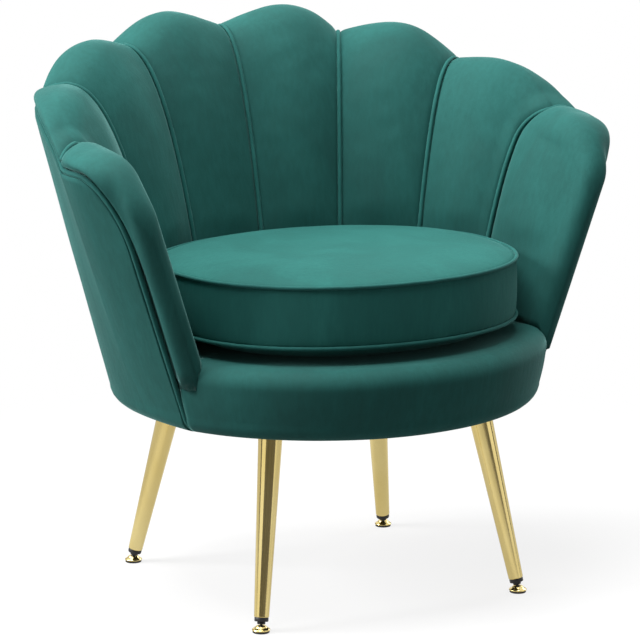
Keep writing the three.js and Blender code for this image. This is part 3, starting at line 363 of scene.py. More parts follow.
def closed_curve(points, per_span=8):
    """A closed centripetal Catmull-Rom line through points."""
    def between(a, b, at_a, at_b, t):
        return (at_b - t) / (at_b - at_a) * a + (t - at_a) / (at_b - at_a) * b

    count = len(points)
    line = []
    for i in range(count):
        p = [points[(i + k) % count] for k in (-1, 0, 1, 2)]
        t = [0.0]
        for a, b in zip(p, p[1:]):
            t.append(t[-1] + max(1e-6, norm(b - a)) ** 0.5)
        for k in range(per_span):
            at = mix(t[1], t[2], k / per_span)
            first = [between(p[j], p[j + 1], t[j], t[j + 1], at) for j in range(3)]
            second = [between(first[j], first[j + 1], t[j], t[j + 2], at) for j in range(2)]
            line.append(between(*second, t[1], t[2], at))
    return np.array(line)


def resample(line, count, closed=False):
    pts = np.vstack([line, line[:1]]) if closed else line
    steps = np.r_[0, np.cumsum(norm(np.diff(pts, axis=0), axis=1))]
    at = np.linspace(0, steps[-1], count, endpoint=not closed)
    return np.stack([np.interp(at, steps, pts[:, k]) for k in range(3)], axis=1)


def soften(line, times, closed=False):
    line = line.copy()
    for _ in range(times):
        before, after = np.roll(line, 1, axis=0), np.roll(line, -1, axis=0)
        blended = (before + 2 * line + after) / 4
        if not closed:
            blended[0], blended[-1] = line[0], line[-1]
        line = blended
    return line


def tube(name, line, radius, closed=False):
    """A round cord along a line, closed at its ends, with the slight unevenness of sewn piping."""
    line = np.asarray(line, float)
    count = len(line)
    tangents = np.roll(line, -1, axis=0) - np.roll(line, 1, axis=0)
    if not closed:
        tangents[0], tangents[-1] = line[1] - line[0], line[-1] - line[-2]
    tangents = tangents / norm(tangents, axis=1, keepdims=True)
    normal = unit(np.cross(tangents[0], (0.3, 0.2, 1.0)))
    normals = []
    for tangent in tangents:
        normal = unit(normal - tangent * np.dot(normal, tangent))
        normals.append(normal)
    twist = 0.0
    if closed:
        wanted = unit(normals[0] - tangents[-1] * np.dot(normals[0], tangents[-1]))
        twist = atan2(np.dot(np.cross(normals[-1], wanted), tangents[-1]), np.dot(normals[-1], wanted))
    rings = []
    for i, (centre, tangent, side) in enumerate(zip(line, tangents, normals)):
        up = np.cross(tangent, side)
        ring = []
        for j, angle in enumerate(circle(CORD_SIDES)):
            angle += twist * i / count
            grow = 1 + CORD_UNEVENNESS * noise.noise(Vector(centre * 0.09) + Vector((j * 0.35, 0, 0)))
            ring.append(centre + radius * grow * (cos(angle) * side + sin(angle) * up))
        rings.append(ring)
    if closed:
        return new_object(name, [p for ring in rings for p in ring], ring_faces(count, CORD_SIDES, close_rings=True))
    return closed_solid(name, rings, (line[0], line[-1]))


# Node trees: an input is a value or another node's output

def plug(tree, socket, value):
    if isinstance(value, bpy.types.NodeSocket):
        tree.links.new(value, socket)
    else:
        socket.default_value = value


def add_node(tree, kind, output, inputs, **attributes):
    """Adds a node and gives back one of its outputs."""
    made = tree.nodes.new("ShaderNode" + kind)
    set_all(made, attributes)
    for key, value in inputs.items():
        plug(tree, made.inputs[key], value)
    return made.outputs[output]


def calc(tree, operation, *values):
    return add_node(tree, "Math", "Value", dict(enumerate(values)), operation=operation)


def ray(tree, *kinds):
    """One for rays of the given kinds, else nought."""
    share = add_node(tree, "LightPath", f"Is {kinds[0]} Ray", {})
    for kind in kinds[1:]:
        share = calc(tree, "MAXIMUM", share, add_node(tree, "LightPath", f"Is {kind} Ray", {}))
    return share


def texture(tree, kind, scale, stretch=(1.0, 1.0, 1.0), output="Fac", **inputs):
    """A texture in the object's own coordinates."""
    place = add_node(tree, "TexCoord", "Object", {})
    place = add_node(tree, "Mapping", "Vector", {"Vector": place, "Scale": stretch})
    return add_node(tree, "Tex" + kind, output, {"Vector": place, "Scale": scale, **inputs})


def ramp(tree, share, *stops):
    made = tree.nodes.new("ShaderNodeValToRGB")
    while len(made.color_ramp.elements) < len(stops):
        made.color_ramp.elements.new(0.5)
    for element, (place, color) in zip(made.color_ramp.elements, stops):
        element.position = place
        element.color = (*color, 1)
    plug(tree, made.inputs["Fac"], share)
    return made.outputs["Color"]


def spread(tree, share, low, high):
    return add_node(tree, "MapRange", "Result", {"Value": share, "To Min": low, "To Max": high})


def bump(tree, height, strength, distance, **inputs):
    return add_node(tree, "Bump", "Normal", {"Height": height, "Strength": strength, "Distance": distance, **inputs})


def material(name, surface, *values, **named):
    """A material from a function that gives the values of its shader's inputs."""
    made = bpy.data.materials.new(name)
    made.use_nodes = True
    tree = made.node_tree
    for key, value in surface(tree, *values, **named).items():
        plug(tree, tree.nodes["Principled BSDF"].inputs[key], value)
    return made


# Materials

def velvet(tree, dark, mid, light, nap=1.0, sheen=0.34):
    """Short-pile velvet: soft patches where the pile lies differently, fine pile grain and a sheen."""
    stretch = (11.0 * nap, 11.0 * nap, 5.0 * nap)
    patches = texture(tree, "Noise", 1.0, stretch, Detail=3.0, Roughness=0.55, Distortion=0.6)
    streaks = texture(tree, "Noise", 1.0, (160.0, 160.0, 38.0), Detail=4.0, Roughness=0.6)
    grain = texture(tree, "Noise", 1100.0, Detail=2.0, Roughness=0.7)
    tone = 0.21
    for pattern, weight in ((patches, 0.34), (streaks, 0.16), (grain, 0.14)):
        tone = calc(tree, "MULTIPLY_ADD", pattern, weight, tone)
    return {"Base Color": ramp(tree, tone, (0.30, dark), (0.52, mid), (0.72, light)),
            "Roughness": spread(tree, patches, 0.72, 0.92),
            "Normal": bump(tree, streaks, 0.30, 0.0012, Normal=bump(tree, grain, 0.22, 0.0006)),
            "Specular IOR Level": 0.22, "Sheen Weight": sheen, "Sheen Roughness": 0.30,
            "Sheen Tint": (0.36, 0.76, 0.72, 1)}


def gold(tree):
    tone = texture(tree, "Noise", 22.0, (1.0, 1.0, 0.35), Detail=3.0, Roughness=0.5)
    smear = texture(tree, "Noise", 90.0, (1.0, 1.0, 0.12), Detail=4.0, Roughness=0.6)
    return {"Base Color": ramp(tree, tone, (0.3, (0.80, 0.62, 0.23)), (0.7, (0.89, 0.73, 0.33))), "Metallic": 1.0,
            "Roughness": spread(tree, smear, 0.10, 0.20), "Normal": bump(tree, smear, 0.05, 0.0004)}


def plastic(tree):
    tone = texture(tree, "Noise", 60.0, Detail=2.0)
    spark = texture(tree, "Voronoi", 1500.0, output="Distance")
    return {"Base Color": ramp(tree, tone, (0.35, (0.010, 0.010, 0.011)), (0.7, (0.022, 0.022, 0.024))),
            "Roughness": spread(tree, tone, 0.34, 0.5), "Normal": bump(tree, spark, 0.18, 0.0003)}


def wood(tree):
    rings = texture(tree, "Wave", 34.0, (0.3, 0.3, 1.6), Distortion=5.0, Detail=3.0, **{"Detail Scale": 1.4})
    fibres = texture(tree, "Noise", 1.0, (60.0, 60.0, 700.0), Detail=5.0, Roughness=0.65)
    tone = calc(tree, "MULTIPLY_ADD", fibres, 0.45, calc(tree, "MULTIPLY", rings, 0.5))
    color = ramp(tree, tone, (0.15, (0.50, 0.33, 0.17)), (0.55, (0.64, 0.46, 0.27)), (0.9, (0.75, 0.58, 0.37)))
    return {"Base Color": color, "Roughness": 0.72, "Normal": bump(tree, fibres, 0.35, 0.0005)}


def steel(tree):
    scratch = texture(tree, "Noise", 1.0, (400.0, 60.0, 400.0), Detail=4.0)
    return {"Base Color": ramp(tree, scratch, (0.3, (0.28, 0.28, 0.29)), (0.7, (0.46, 0.46, 0.47))),
            "Roughness": 0.36, "Metallic": 1.0, "Normal": bump(tree, scratch, 0.2, 0.0002)}


def woven_lining(tree):
    dots = texture(tree, "Voronoi", 420.0, output="Distance")
    return {"Base Color": ramp(tree, dots, (0.1, (0.012, 0.012, 0.012)), (0.6, (0.035, 0.035, 0.036))),
            "Roughness": 0.9, "Normal": bump(tree, dots, 0.5, 0.0004)}


VELVET = material("teal_velvet", velvet, (0.007, 0.052, 0.047), (0.012, 0.090, 0.080), (0.022, 0.140, 0.126))
# The seat cushion is the same velvet as the wall and base, painted lighter as painted light on the cushion, with less
# sheen.
PAINTED_LIGHTER_CUSHION_VELVET = material("teal_velvet_seat", velvet,
                          (0.009, 0.080, 0.070), (0.015, 0.122, 0.107), (0.029, 0.182, 0.161), sheen=0.20)
# The welts and piping cords are the same velvet, painted lighter as a painted highlight along the cords, with a finer
# pile pattern.
PAINTED_HIGHLIGHT_PIPING_VELVET = material("teal_velvet_piping", velvet,
                         (0.009, 0.068, 0.061), (0.014, 0.108, 0.097), (0.026, 0.158, 0.142), nap=3.0)
GOLD = material("polished_gold", gold)
PLASTIC = material("moulded_plastic", plastic)
WOOD = material("sawn_wood", wood)
STEEL = material("drawn_steel", steel)
LINING = material("black_lining", woven_lining)


def finish_piece(obj, looks, body, node):
    obj.data.materials.append(looks)
    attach(obj, body)
    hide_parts(node)


# Channel pads

INNER_ROWS = 70
ROLL_ROWS = 22
LIP_ROWS = 6
BACK_ROWS = 6
PAD_COLUMNS = 44
NOSE_ROWS = 14
VISIBLE_ROWS = INNER_ROWS + ROLL_ROWS
ROW_CROWDING = 2.4
LIP = 6.0
LEDGE_DROP = 0.3
EASED_BELOW_CREST = (70.0, 10.0)
ARM_EASE_IN = (SEAM_LAST + 0.1, SEAM_LAST + 0.45)
ARM_EASE_OUT = (SEAM_LAST + 0.5, SEAM_LAST + 0.95)
ARM_CREST_HOLD = 0.4
SIDE_GAP = 0.15
WELT_ROOM, ARM_WELT_ROOM = 0.6 * SOFT_GAP, 2.2 * SOFT_GAP
BACK_UNEVENNESS = 1.6
ARM_UNEVENNESS = 1.4
BACK_SEAM_WIDTH = 0.05
BACK_SEAM_POWER, ARM_SEAM_POWER = 1.3, 1.8
ARM_SHARE = 0.95
ARM_FADE, ARM_FADE_SHARES = 0.55, (0.80, 0.97)
NOSE_TURN = 0.95
NOSE_EASE_FROM, NOSE_EASE_TIMES = 18, 14
TUCK_RADII = (294.0, 320.0)
TUCK_STEP = 0.999


def on_roll(top, edge, rise, fall):
    """A point of the wall's quarter-round roll, from the crest out and down to the edge."""
    return at_height(mix(top, edge, rise), mix(top[2], edge[2], fall))


def crowded(i, count, crowding=ROW_CROWDING):
    """Share of the way up of a row. The rows stand closer together towards the crest."""
    return 1 - (1 - i / count) ** crowding


def pad_loop(station, bulge, unevenness):
    """One upright section of the wall: up the inside, over the crest, down the roll, round its lip and
    down the hidden back."""
    crest = pad_crest_z(station)
    at_edge = swept(station)
    shoulder = shoulder_z(at_edge)
    rows = []
    for i in range(INNER_ROWS):
        z = mix(PAD_FOOT_Z, crest, crowded(i, INNER_ROWS))
        rows.append((inside_point(station, crest, z), bulge_share(z, crest), False))
    top = inside_point(station, crest, crest)
    rows.append((top, 1.0, False))
    lip_z = shoulder + LIP
    edge = cover_point(at_edge, lip_z)
    outward = flat(cover_point(station, shoulder) - rows[0][0])
    for share, rise, fall in quarter(ROLL_ROWS):
        rows.append((on_roll(top, edge, rise, fall), mix(1, EDGE_BULGE, share), share == 1))
    for share, rise, fall in quarter(LIP_ROWS):
        rows.append((cover_point(at_edge, lip_z - LIP * rise, LIP * fall), EDGE_BULGE * (1 - share), True))
    rows.append((cover_point(at_edge, shoulder - LEDGE_DROP, BEHIND_COVER), 0.0, True))
    shoulder_foot = max(PAD_FOOT_Z, shoulder - PAD_SHOULDER)
    for i in range(BACK_ROWS):
        z = mix(shoulder_foot, PAD_FOOT_Z, i / (BACK_ROWS - 1))
        inner = valley_point(station, z)
        room = np.dot(cover_point(station, z, BEHIND_COVER) - inner, outward)
        rows.append((inner + outward * min(PAD_THICKNESS, room), 0.0, True))
    along = abs(station)
    drop = ARM_EASE * smooth(*ARM_EASE_IN, along) * (1 - smooth(*ARM_EASE_OUT, along))
    far, near = EASED_BELOW_CREST
    for place, _, level in rows:
        place[2] -= 0 if level else drop * smooth(crest - far, crest - near, place[2])
    at_crest = 1 - ARM_CREST_HOLD * smooth(SEAM_LAST, ARM_EASE_IN[1], along)
    return push_out(rows, outward, bulge, unevenness, at_crest)


def push_out(rows, outward, bulge, unevenness, at_crest):
    """Moves each point of a section outward along the section's own normal by its share of the bulge."""
    loop = []
    for i, (place, share, level) in enumerate(rows):
        along = rows[min(len(rows) - 1, i + 1)][0] - rows[max(0, i - 1)][0]
        normal = outward * -along[2] + point(0, 0, np.dot(along, outward))
        if i == 0 or level:
            normal = normal * (1, 1, 0)
        normal = unit(normal)
        amount = bulge * (ceil(share) if bulge < 0 else share)
        if unevenness and 0 < i < VISIBLE_ROWS:
            amount += unevenness * min(1.0, i / 6, (VISIBLE_ROWS - i) / 8) * soft_noise(place)
        upward = max(0.0, normal[2]) * amount * (1 - at_crest)
        loop.append(place + normal * amount - point(0, 0, upward))
    return loop


def soft_noise(place):
    low = waver(place, 0.011)
    fine = noise.noise(Vector(place * (0.03, 0.03, 0.055)) + Vector((7.3, 1.1, 4.2)))
    return low + 0.35 * fine


def bulge_across(share):
    return PAD_BULGE * sin(pi * share) ** BULGE_ROUNDNESS


def column_shares():
    """Shares across a pad, closer together beside the seams."""
    return [0.5 - 0.5 * cos(pi * i / PAD_COLUMNS) for i in range(PAD_COLUMNS + 1)]


def seam_bulge(first, last, share):
    """Bulge at a share of the way across: drawn back beside the welts, then quickly full."""
    near = first if share < 0.5 else last
    room = WELT_RADIUS + (ARM_WELT_ROOM if abs(near) == SEAM_LAST else WELT_ROOM)
    arm = abs(last) == PADS_PER_SIDE and abs(first) == SEAM_LAST
    width, power = (ARM_SEAM_WIDTH, ARM_SEAM_POWER) if arm else (BACK_SEAM_WIDTH, BACK_SEAM_POWER)
    return bulge_across(share) - room * max(0.0, 1 - min(share, 1 - share) / width) ** power


def beside_seam(loop, distance):
    outward = flat(loop[-1] - loop[0])
    across = point(outward[1], -outward[0], 0)
    return [p + across * distance for p in loop]


def back_pad(name, first):
    last = first + 1
    loops = []
    for share in column_shares():
        uneven = BACK_UNEVENNESS * smooth(0.0, 0.2, min(share, 1 - share))
        loop = pad_loop(mix(first, last, share), seam_bulge(first, last, share), uneven)
        if share in (0, 1):
            loop = beside_seam(loop, SIDE_GAP * (1 - 2 * share))
        loops.append(loop)
    return closed_solid(name, loops)


def nose_loop(side, angle, forward, drawn_in):
    """One section of the arm's rounded front, with as many points as a pad's section."""
    station = side * PADS_PER_SIDE
    half = ARM_THICKNESS / 2 * cos(angle)
    crest = crest_z(station, forward)

    def across(z, outward):
        below = max(0.0, min(crest - z, half))
        width = sqrt(max(0.0, half * half - (half - below) ** 2))
        place = cover_point(station, z, max(drawn_in, ARM_THICKNESS / 2 - outward * width))
        place[1] -= forward
        return place

    loop = [across(mix(PAD_FOOT_Z, crest, crowded(i, INNER_ROWS)), -1) for i in range(INNER_ROWS)]
    loop.append(across(crest, 0))
    loop += [across(crest - half * fall, 1) for _, _, fall in quarter(ROLL_ROWS)]
    rest = LIP_ROWS + 1 + BACK_ROWS
    return loop + [across(mix(crest - half, PAD_FOOT_Z, (i + 1) / rest), 1) for i in range(rest)]


def ease_across(loops, first, times):
    """Evens out the sections from one column on, so that the pad turns smoothly into its nose."""
    grid = np.array(loops)
    fade = np.clip((np.arange(len(loops)) - first) / 8, 0, 1)[:, None, None]
    for _ in range(times):
        eased = grid.copy()
        eased[1:-1] = (grid[:-2] + 2 * grid[1:-1] + grid[2:]) / 4
        grid = mix(grid, eased, fade)
    return [list(loop) for loop in grid]


def around_base(place):
    """Radius and angle of a point round the seat base's centre."""
    x, y = place[0], place[1] - BASE_CENTRE_Y
    return hypot(x, y), atan2(x, y)


def base_reach(z):
    """Radius of the seat base's front at a height."""
    low_edge = DECK_Z - DECK_ROUNDING
    if z < low_edge:
        return mix(BASE_RADIUS, BAND_TOP_RADIUS, clamp01((z - COVER_LOW_Z) / (low_edge - COVER_LOW_Z)))
    return BAND_TOP_RADIUS - DECK_ROUNDING * quarter_fall(clamp01((z - low_edge) / DECK_ROUNDING))


def in_base(place):
    return place[2] < DECK_Z + SOFT_GAP / 2 and around_base(place)[0] < base_reach(place[2]) + SOFT_GAP


def largest_share(fits):
    """The largest share that fits, found by halving."""
    if fits(1.0):
        return 1.0
    low, high = 0.0, TUCK_STEP
    for _ in range(13):
        share = (low + high) / 2
        if fits(share):
            low = share
        else:
            high = share * TUCK_STEP
    return low


def tuck_nose(loops, first, side):
    """Draws the foot of the arm's front down into the corner between the seat base and the outer cover."""
    station = side * PADS_PER_SIDE

    def lowered(place, drop):
        return place + (cover_point(station, place[2] - drop) - cover_point(station, place[2]))

    settled = []
    for i, loop in enumerate(loops):
        along = smooth(first - 6, first + 1, i)
        row = []
        for place in loop:
            down = clamp01((DECK_Z + NOSE_TUCK_START - place[2]) / NOSE_TUCK_START)
            drop = NOSE_TUCK * along * down ** 1.5 * smooth(*TUCK_RADII, around_base(place)[0])
            if drop > 0.01:
                drop *= largest_share(lambda share: not in_base(lowered(place, drop * share)))
                place = lowered(place, drop)
            row.append(place)
        settled.append(row)
    return settled


def arm_pad(name, side):
    seam, front = side * SEAM_LAST, side * PADS_PER_SIDE
    loops = []
    for share in column_shares():
        if share > ARM_SHARE:
            break
        fade = 1 - smooth(*ARM_FADE_SHARES, share) * ARM_FADE
        bulge = seam_bulge(seam, front, share) if share < 0.5 else bulge_across(share) * fade
        uneven = ARM_UNEVENNESS * smooth(0.0, 0.2, share) * (1 - smooth(0.75, 0.93, share))
        loop = pad_loop(mix(seam, front, share), bulge, uneven)
        loops.append(beside_seam(loop, side * SIDE_GAP) if share == 0 else loop)
    for i in range(NOSE_ROWS + 1):
        share = i / NOSE_ROWS
        angle = share * NOSE_TURN * QUARTER_TURN
        forward = NOSE_PROUD * sin(angle) - (SOFT_GAP if i == 0 else 0)
        loops.append(nose_loop(side, angle, forward, BEHIND_COVER * (1 - smooth(0, 0.12, share))))
    loops = ease_across(loops, NOSE_EASE_FROM, NOSE_EASE_TIMES)
    return closed_solid(name, tuck_nose(loops, len(loops) - NOSE_ROWS - 1, side))


for first in range(-PADS_PER_SIDE, PADS_PER_SIDE):
    node = f"pad_{'left' if first < 0 else 'right'}_{max(-first, first + 1)}"
    if first == -PADS_PER_SIDE:
        pad = arm_pad("arm_channel_left", -1)
    elif first == SEAM_LAST:
        pad = arm_pad("arm_channel_right", 1)
    else:
        pad = back_pad("back_channel_" + node[4:], first)
    finish_piece(pad, VELVET, "frame", node)


# Welts in the seams

WELT_FOOT_Z = DECK_Z + WELT_RADIUS + 0.3
WELT_ROWS = 40
WELT_CROWDING = 2.2
WELT_ROLL_TURN = 0.86


def welt_line(station):
    crest = pad_crest_z(station)
    at_edge = swept(station)
    shoulder = shoulder_z(at_edge)
    lean = WELT_LEAN if abs(station) == SEAM_LAST else 0.0
    places = []
    for i in range(WELT_ROWS):
        z = mix(WELT_FOOT_Z, crest, crowded(i, WELT_ROWS, WELT_CROWDING))
        inner = inside_point(station, crest, z)
        proud = WELT_LIFT * smooth(WELT_FOOT_Z, WELT_FOOT_Z + 30, z)
        places.append(inner - flat(cover_point(station, z) - inner) * proud)
    top = inside_point(station, crest, crest)
    places.append(top + point(0, -lean / 2, lean / 2 + (0.0 if lean else WELT_LIFT * 0.7)))
    edge = cover_point(at_edge, shoulder)
    for _, rise, fall in quarter(12, turn=WELT_ROLL_TURN):
        places.append(on_roll(top, edge, rise, fall) + point(0, -lean, lean) * 0.75)
    return soften(resample(np.array(places), 220), 6)


for station in range(-SEAM_LAST, SEAM_LAST + 1):
    node = "welt_centre" if station == 0 else f"welt_{'left' if station < 0 else 'right'}_{abs(station)}"
    welt = tube("seam_" + node, welt_line(station), WELT_RADIUS)
    finish_piece(welt, PAINTED_HIGHLIGHT_PIPING_VELVET, "frame", node)


# Outer cover and its piping

COVER_COLUMNS = 320
COVER_RISE_ROWS = 44
COVER_PUFF, COVER_UNEVENNESS = 0.9, 0.45
COVER_EDGE_RISE = 0.8


def cover_loop(station):
    """One upright section: round the foot, up the outside, over the edge and down the inside."""
    top = cover_edge_z(station)
    loop = []
    for _, rise, fall in quarter(6, first=0):
        loop.append(cover_point(station, mix(BASE_BOTTOM_Z, COVER_LOW_Z, fall), BASE_ROUNDING * (1 - rise)))
    for i in range(1, COVER_RISE_ROWS + 1):
        share = i / COVER_RISE_ROWS
        z = mix(COVER_LOW_Z, top, share)
        puff = COVER_PUFF * sin(pi * share) + COVER_UNEVENNESS * waver(cover_point(station, z), 0.012)
        loop.append(cover_point(station, z, -puff))
    for share in (0.3, 0.7):
        loop.append(cover_point(station, top + COVER_EDGE_RISE, COVER_THICKNESS * share))
    for i in range(COVER_RISE_ROWS // 2, -1, -1):
        loop.append(cover_point(station, mix(COVER_LOW_Z, top, 2 * i / COVER_RISE_ROWS), COVER_THICKNESS))
    return loop + [cover_point(station, BASE_BOTTOM_Z + COVER_THICKNESS, BASE_ROUNDING)]


cover_loops = []
for i in range(COVER_COLUMNS + 1):
    share = i / COVER_COLUMNS
    eased = sin((share - 0.5) * pi) / 2 + 0.5
    cover_loops.append(cover_loop(mix(-FRONT_STATION, FRONT_STATION, mix(share, eased, 0.5))))
cover = closed_solid("outer_shell_cover", cover_loops)
finish_piece(cover, VELVET, "frame", "outer_cover")


PIPING_RISES = [0, 0.03, 0.07, 0.12, 0.2, 0.3, 0.4, 0.5, 0.6, 0.7, 0.8, 0.88, 0.94, 0.98, 1]
PIPING_SPOTS = 120


def edge_piping_line():
    """Up the left front edge of the cover, along its scalloped top and down the right front edge."""
    inward = COVER_THICKNESS / 2
    low = mix(BASE_BOTTOM_Z, COVER_LOW_Z, 0.4)
    top = cover_edge_z(FRONT_STATION)

    def front(side, share):
        station = side * FRONT_STATION
        z = mix(low, top, share)
        below = clamp01((COVER_LOW_Z - z) / (COVER_LOW_Z - BASE_BOTTOM_Z))
        place = cover_point(station, max(z, COVER_LOW_Z), inward + below ** 2 * BASE_ROUNDING)
        return at_height(place, z), station

    spots = [front(-1, share) for share in PIPING_RISES]
    for i in range(1 - PIPING_SPOTS, PIPING_SPOTS):
        station = FRONT_STATION * sign(i) * (1 - (1 - abs(i / PIPING_SPOTS)) ** 1.4)
        spots.append((cover_point(station, cover_edge_z(station), inward), station))
    spots += [front(1, share) for share in reversed(PIPING_RISES)]
    line = []
    for i, (place, station) in enumerate(spots):
        before, after = spots[max(0, i - 1)][0], spots[min(len(spots) - 1, i + 1)][0]
        face = cover_point(station, COVER_LOW_Z) - cover_point(station, COVER_LOW_Z, inward)
        line.append(place + unit(np.cross(after - before, face)) * (PIPING_RADIUS + 0.9 * SOFT_GAP))
    return soften(resample(np.array(line), 900), 10)


finish_piece(tube("shell_edge_piping", edge_piping_line(), PIPING_RADIUS),
             PAINTED_HIGHLIGHT_PIPING_VELVET, "frame", "outer_cover_piping")


# Seat base: deck and curved band

REAR_COLUMNS = 80
FRONT_COLUMNS = 110
FRONT_EDGE_RADII = (290.0, 304.0)
BASE_UNEVENNESS = 0.8


def band_front_rows():
    """Section of the band's front from the deck down: distance in from the base's radius, and height."""
    bulge = BAND_TOP_RADIUS - BASE_RADIUS
    rows = [(DECK_ROUNDING + inward - bulge, DECK_Z) for inward in (60, 20)]
    for _, rise, fall in quarter(10, first=0):
        rows.append((DECK_ROUNDING * (1 - rise) - bulge, DECK_Z - DECK_ROUNDING * fall))
    for i in range(1, 13):
        share = i / 12
        rows.append((mix(-bulge, 0, share) - 1.2 * sin(pi * share),
                     mix(DECK_Z - DECK_ROUNDING, COVER_LOW_Z, share)))
    for _, rise, fall in quarter(8):
        rows.append((BASE_ROUNDING * fall, mix(COVER_LOW_Z, BASE_BOTTOM_Z, rise)))
    return rows


def band_rear_rows(count):
    """Section of the band behind the cover: distance in from the cover's foot, and height."""
    inside = BEHIND_COVER
    corners = [(inside + DECK_ROUNDING + 51, DECK_Z), (inside + DECK_ROUNDING / 2, DECK_Z),
               (inside, DECK_Z - 3), (inside, COVER_LOW_Z),
               (inside + BASE_ROUNDING * 0.35, COVER_LOW_Z - BASE_ROUNDING * 0.3),
               (inside + BASE_ROUNDING * 0.65, BASE_BOTTOM_Z + COVER_THICKNESS + SOFT_GAP),
               (inside + BASE_ROUNDING * 0.65, BASE_BOTTOM_Z)]
    return [(a, b) for a, b, _ in resample(np.array([(*corner, 0) for corner in corners], float), count)]


def base_point(radius, angle, z):
    return point(radius * sin(angle), BASE_CENTRE_Y + radius * cos(angle), z)


def beside_piping(z):
    """Angle at which the base's front comes out beside the cover's piping at a height."""
    reach, angle = around_base(cover_point(FRONT_STATION, max(z, COVER_LOW_Z), COVER_THICKNESS / 2))
    return angle + (2 * PIPING_RADIUS + 1.6 * SOFT_GAP) / reach


def seat_base():
    front_rows = band_front_rows()
    rear_rows = band_rear_rows(len(front_rows))
    hollow = [(BAND_TUCK_RADIUS, BASE_BOTTOM_Z), (BAND_TUCK_RADIUS, BASE_BOTTOM_Z + 3),
              (BAND_INNER_RADIUS, BASE_BOTTOM_Z + 3), (BAND_INNER_RADIUS, DECK_Z - DECK_THICKNESS)]
    columns = []

    def add_column(visible, angle):
        columns.append(visible + [base_point(radius, angle, z) for radius, z in hollow])

    for i in range(REAR_COLUMNS + 1):
        reach, angle = around_base(cover_low(mix(-PADS_PER_SIDE, PADS_PER_SIDE, i / REAR_COLUMNS), 0))
        add_column([base_point(reach - inward, angle, z) for inward, z in rear_rows], angle)
    seam = around_base(cover_low(PADS_PER_SIDE, 0))[1] + SOFT_GAP / BASE_RADIUS
    for i in range(FRONT_COLUMNS + 1):
        column = []
        for inward, z in front_rows:
            radius = BASE_RADIUS - inward
            start = beside_piping(z)
            if z >= DECK_Z - DECK_ROUNDING:
                start = mix(seam, start, smooth(*FRONT_EDGE_RADII, radius))
            angle = mix(start, 2 * pi - start, i / FRONT_COLUMNS)
            wave = BASE_UNEVENNESS * waver(base_point(radius, angle, z), 0.014)
            column.append(base_point(radius + wave, angle, z))
        add_column(column, mix(seam, 2 * pi - seam, i / FRONT_COLUMNS))
    rings = [[column[i] for column in columns] for i in range(len(columns[0]))]
    return closed_solid("seat_base_padded", rings,
                        (base_point(0, 0, DECK_Z), base_point(0, 0, DECK_Z - DECK_THICKNESS)))


finish_piece(seat_base(), VELVET, "frame", "seat_base_cover")


# Loose seat cushion

def cushion_limit(station, z, inward):
    bulge = PAD_BULGE * bulge_share(z + CUSHION_PIPING_RADIUS, crest_z(station))
    inner = valley_point(station, z)
    outward = flat(cover_point(station, z) - inner)
    return at_height(inner - outward * (bulge + CUSHION_PIPING_RADIUS + 2 * SOFT_GAP + inward), z)


CUSHION_COLUMNS = 160
CUSHION_EASE = 24
CUSHION_EASE_LOSS = 1.5
CASE_INSET = 1.0
CASE_CROWN = CUSHION_CROWN - 3.0
CASE_BOTTOM_Z = DECK_Z + 0.5
FREE_SHARES = (0, 0.14, 0.28, 0.42, 0.56, 0.7, 0.85)
TOP_SHARES = (0.12, 0.25, 0.38, 0.5, 0.62, 0.72, 0.8, 0.86, 0.91, 0.945, 0.97, 0.988)
UNDER_ROWS = ((0.985, 0.93), (0.96, 0.82), (0.93, 0.66), (0.89, 0.45), (0.84, 0.22), (0.78, 0.06),
              (0.7, 0), (0.5, 0), (0.3, 0), (0.15, 0))


def cushion_outline(z, inward):
    """The case follows the pads at the back and runs free in front."""
    half = []
    station = 0.0
    while station < PADS_PER_SIDE:
        spot = cushion_limit(station, z, inward)
        spot[0] = min(spot[0], CUSHION_HALF_WIDTH - inward)
        if spot[1] < CUSHION_WIDEST_Y + FRONT_REACH * 0.125:
            break
        half.append(spot)
        station += 0.25
    arm_back, arm_front = cushion_limit(SEAM_LAST, z, inward), cushion_limit(PADS_PER_SIDE, z, inward)
    depth = CUSHION_FRONT + CUSHION_WIDEST_Y - inward
    power = 2 / CUSHION_ROUNDNESS
    for share in FREE_SHARES:
        angle = share * QUARTER_TURN
        y = CUSHION_WIDEST_Y - depth * sin(angle) ** power
        along = clamp01((arm_back[1] - y) / (arm_back[1] - arm_front[1]))
        free = (CUSHION_HALF_WIDTH - inward) * cos(angle) ** power
        half.append(point(min(free, mix(arm_back[0], arm_front[0], along)), y, z))
    mirrored = [point(-x, y, z) for x, y, _ in reversed(half[1:])]
    ring = half + [point(0, inward - CUSHION_FRONT, z)] + mirrored
    return resample(closed_curve(ring), CUSHION_COLUMNS, closed=True)


def cushion_ring(z, inward, count=CUSHION_COLUMNS):
    """The outline with its corners eased, as a filled case settles."""
    ring = soften(cushion_outline(z, inward - CUSHION_EASE_LOSS), CUSHION_EASE, closed=True)
    return resample(ring, count, closed=True)


def cushion_case(high, low):
    """The sewn case before it is filled: a top and a bottom panel and an upright border."""
    top, bottom = high.mean(axis=0), low.mean(axis=0)
    rings = []
    for share in TOP_SHARES:
        ring = mix(top, high, share)
        ring[:, 2] = CUSHION_HIGH_SEAM_Z + CASE_CROWN * (1 - share ** 5) ** 0.8
        rings.append(ring)
    for i in range(13):
        share = i / 12
        ring = mix(high, low, share)
        inward = ring.mean(axis=0) - ring
        inward[:, 2] = 0
        inward /= norm(inward, axis=1, keepdims=True)
        rings.append(ring - inward * 2.2 * sin(pi * share) ** 0.5)
    for share, rise in UNDER_ROWS:
        ring = mix(bottom, low, share)
        ring[:, 2] = mix(CASE_BOTTOM_Z, CUSHION_LOW_SEAM_Z, rise)
        rings.append(ring)
    top[2], bottom[2] = CUSHION_HIGH_SEAM_Z + CASE_CROWN, CASE_BOTTOM_Z
    return closed_solid("loose_seat_cushion", rings, (top, bottom))


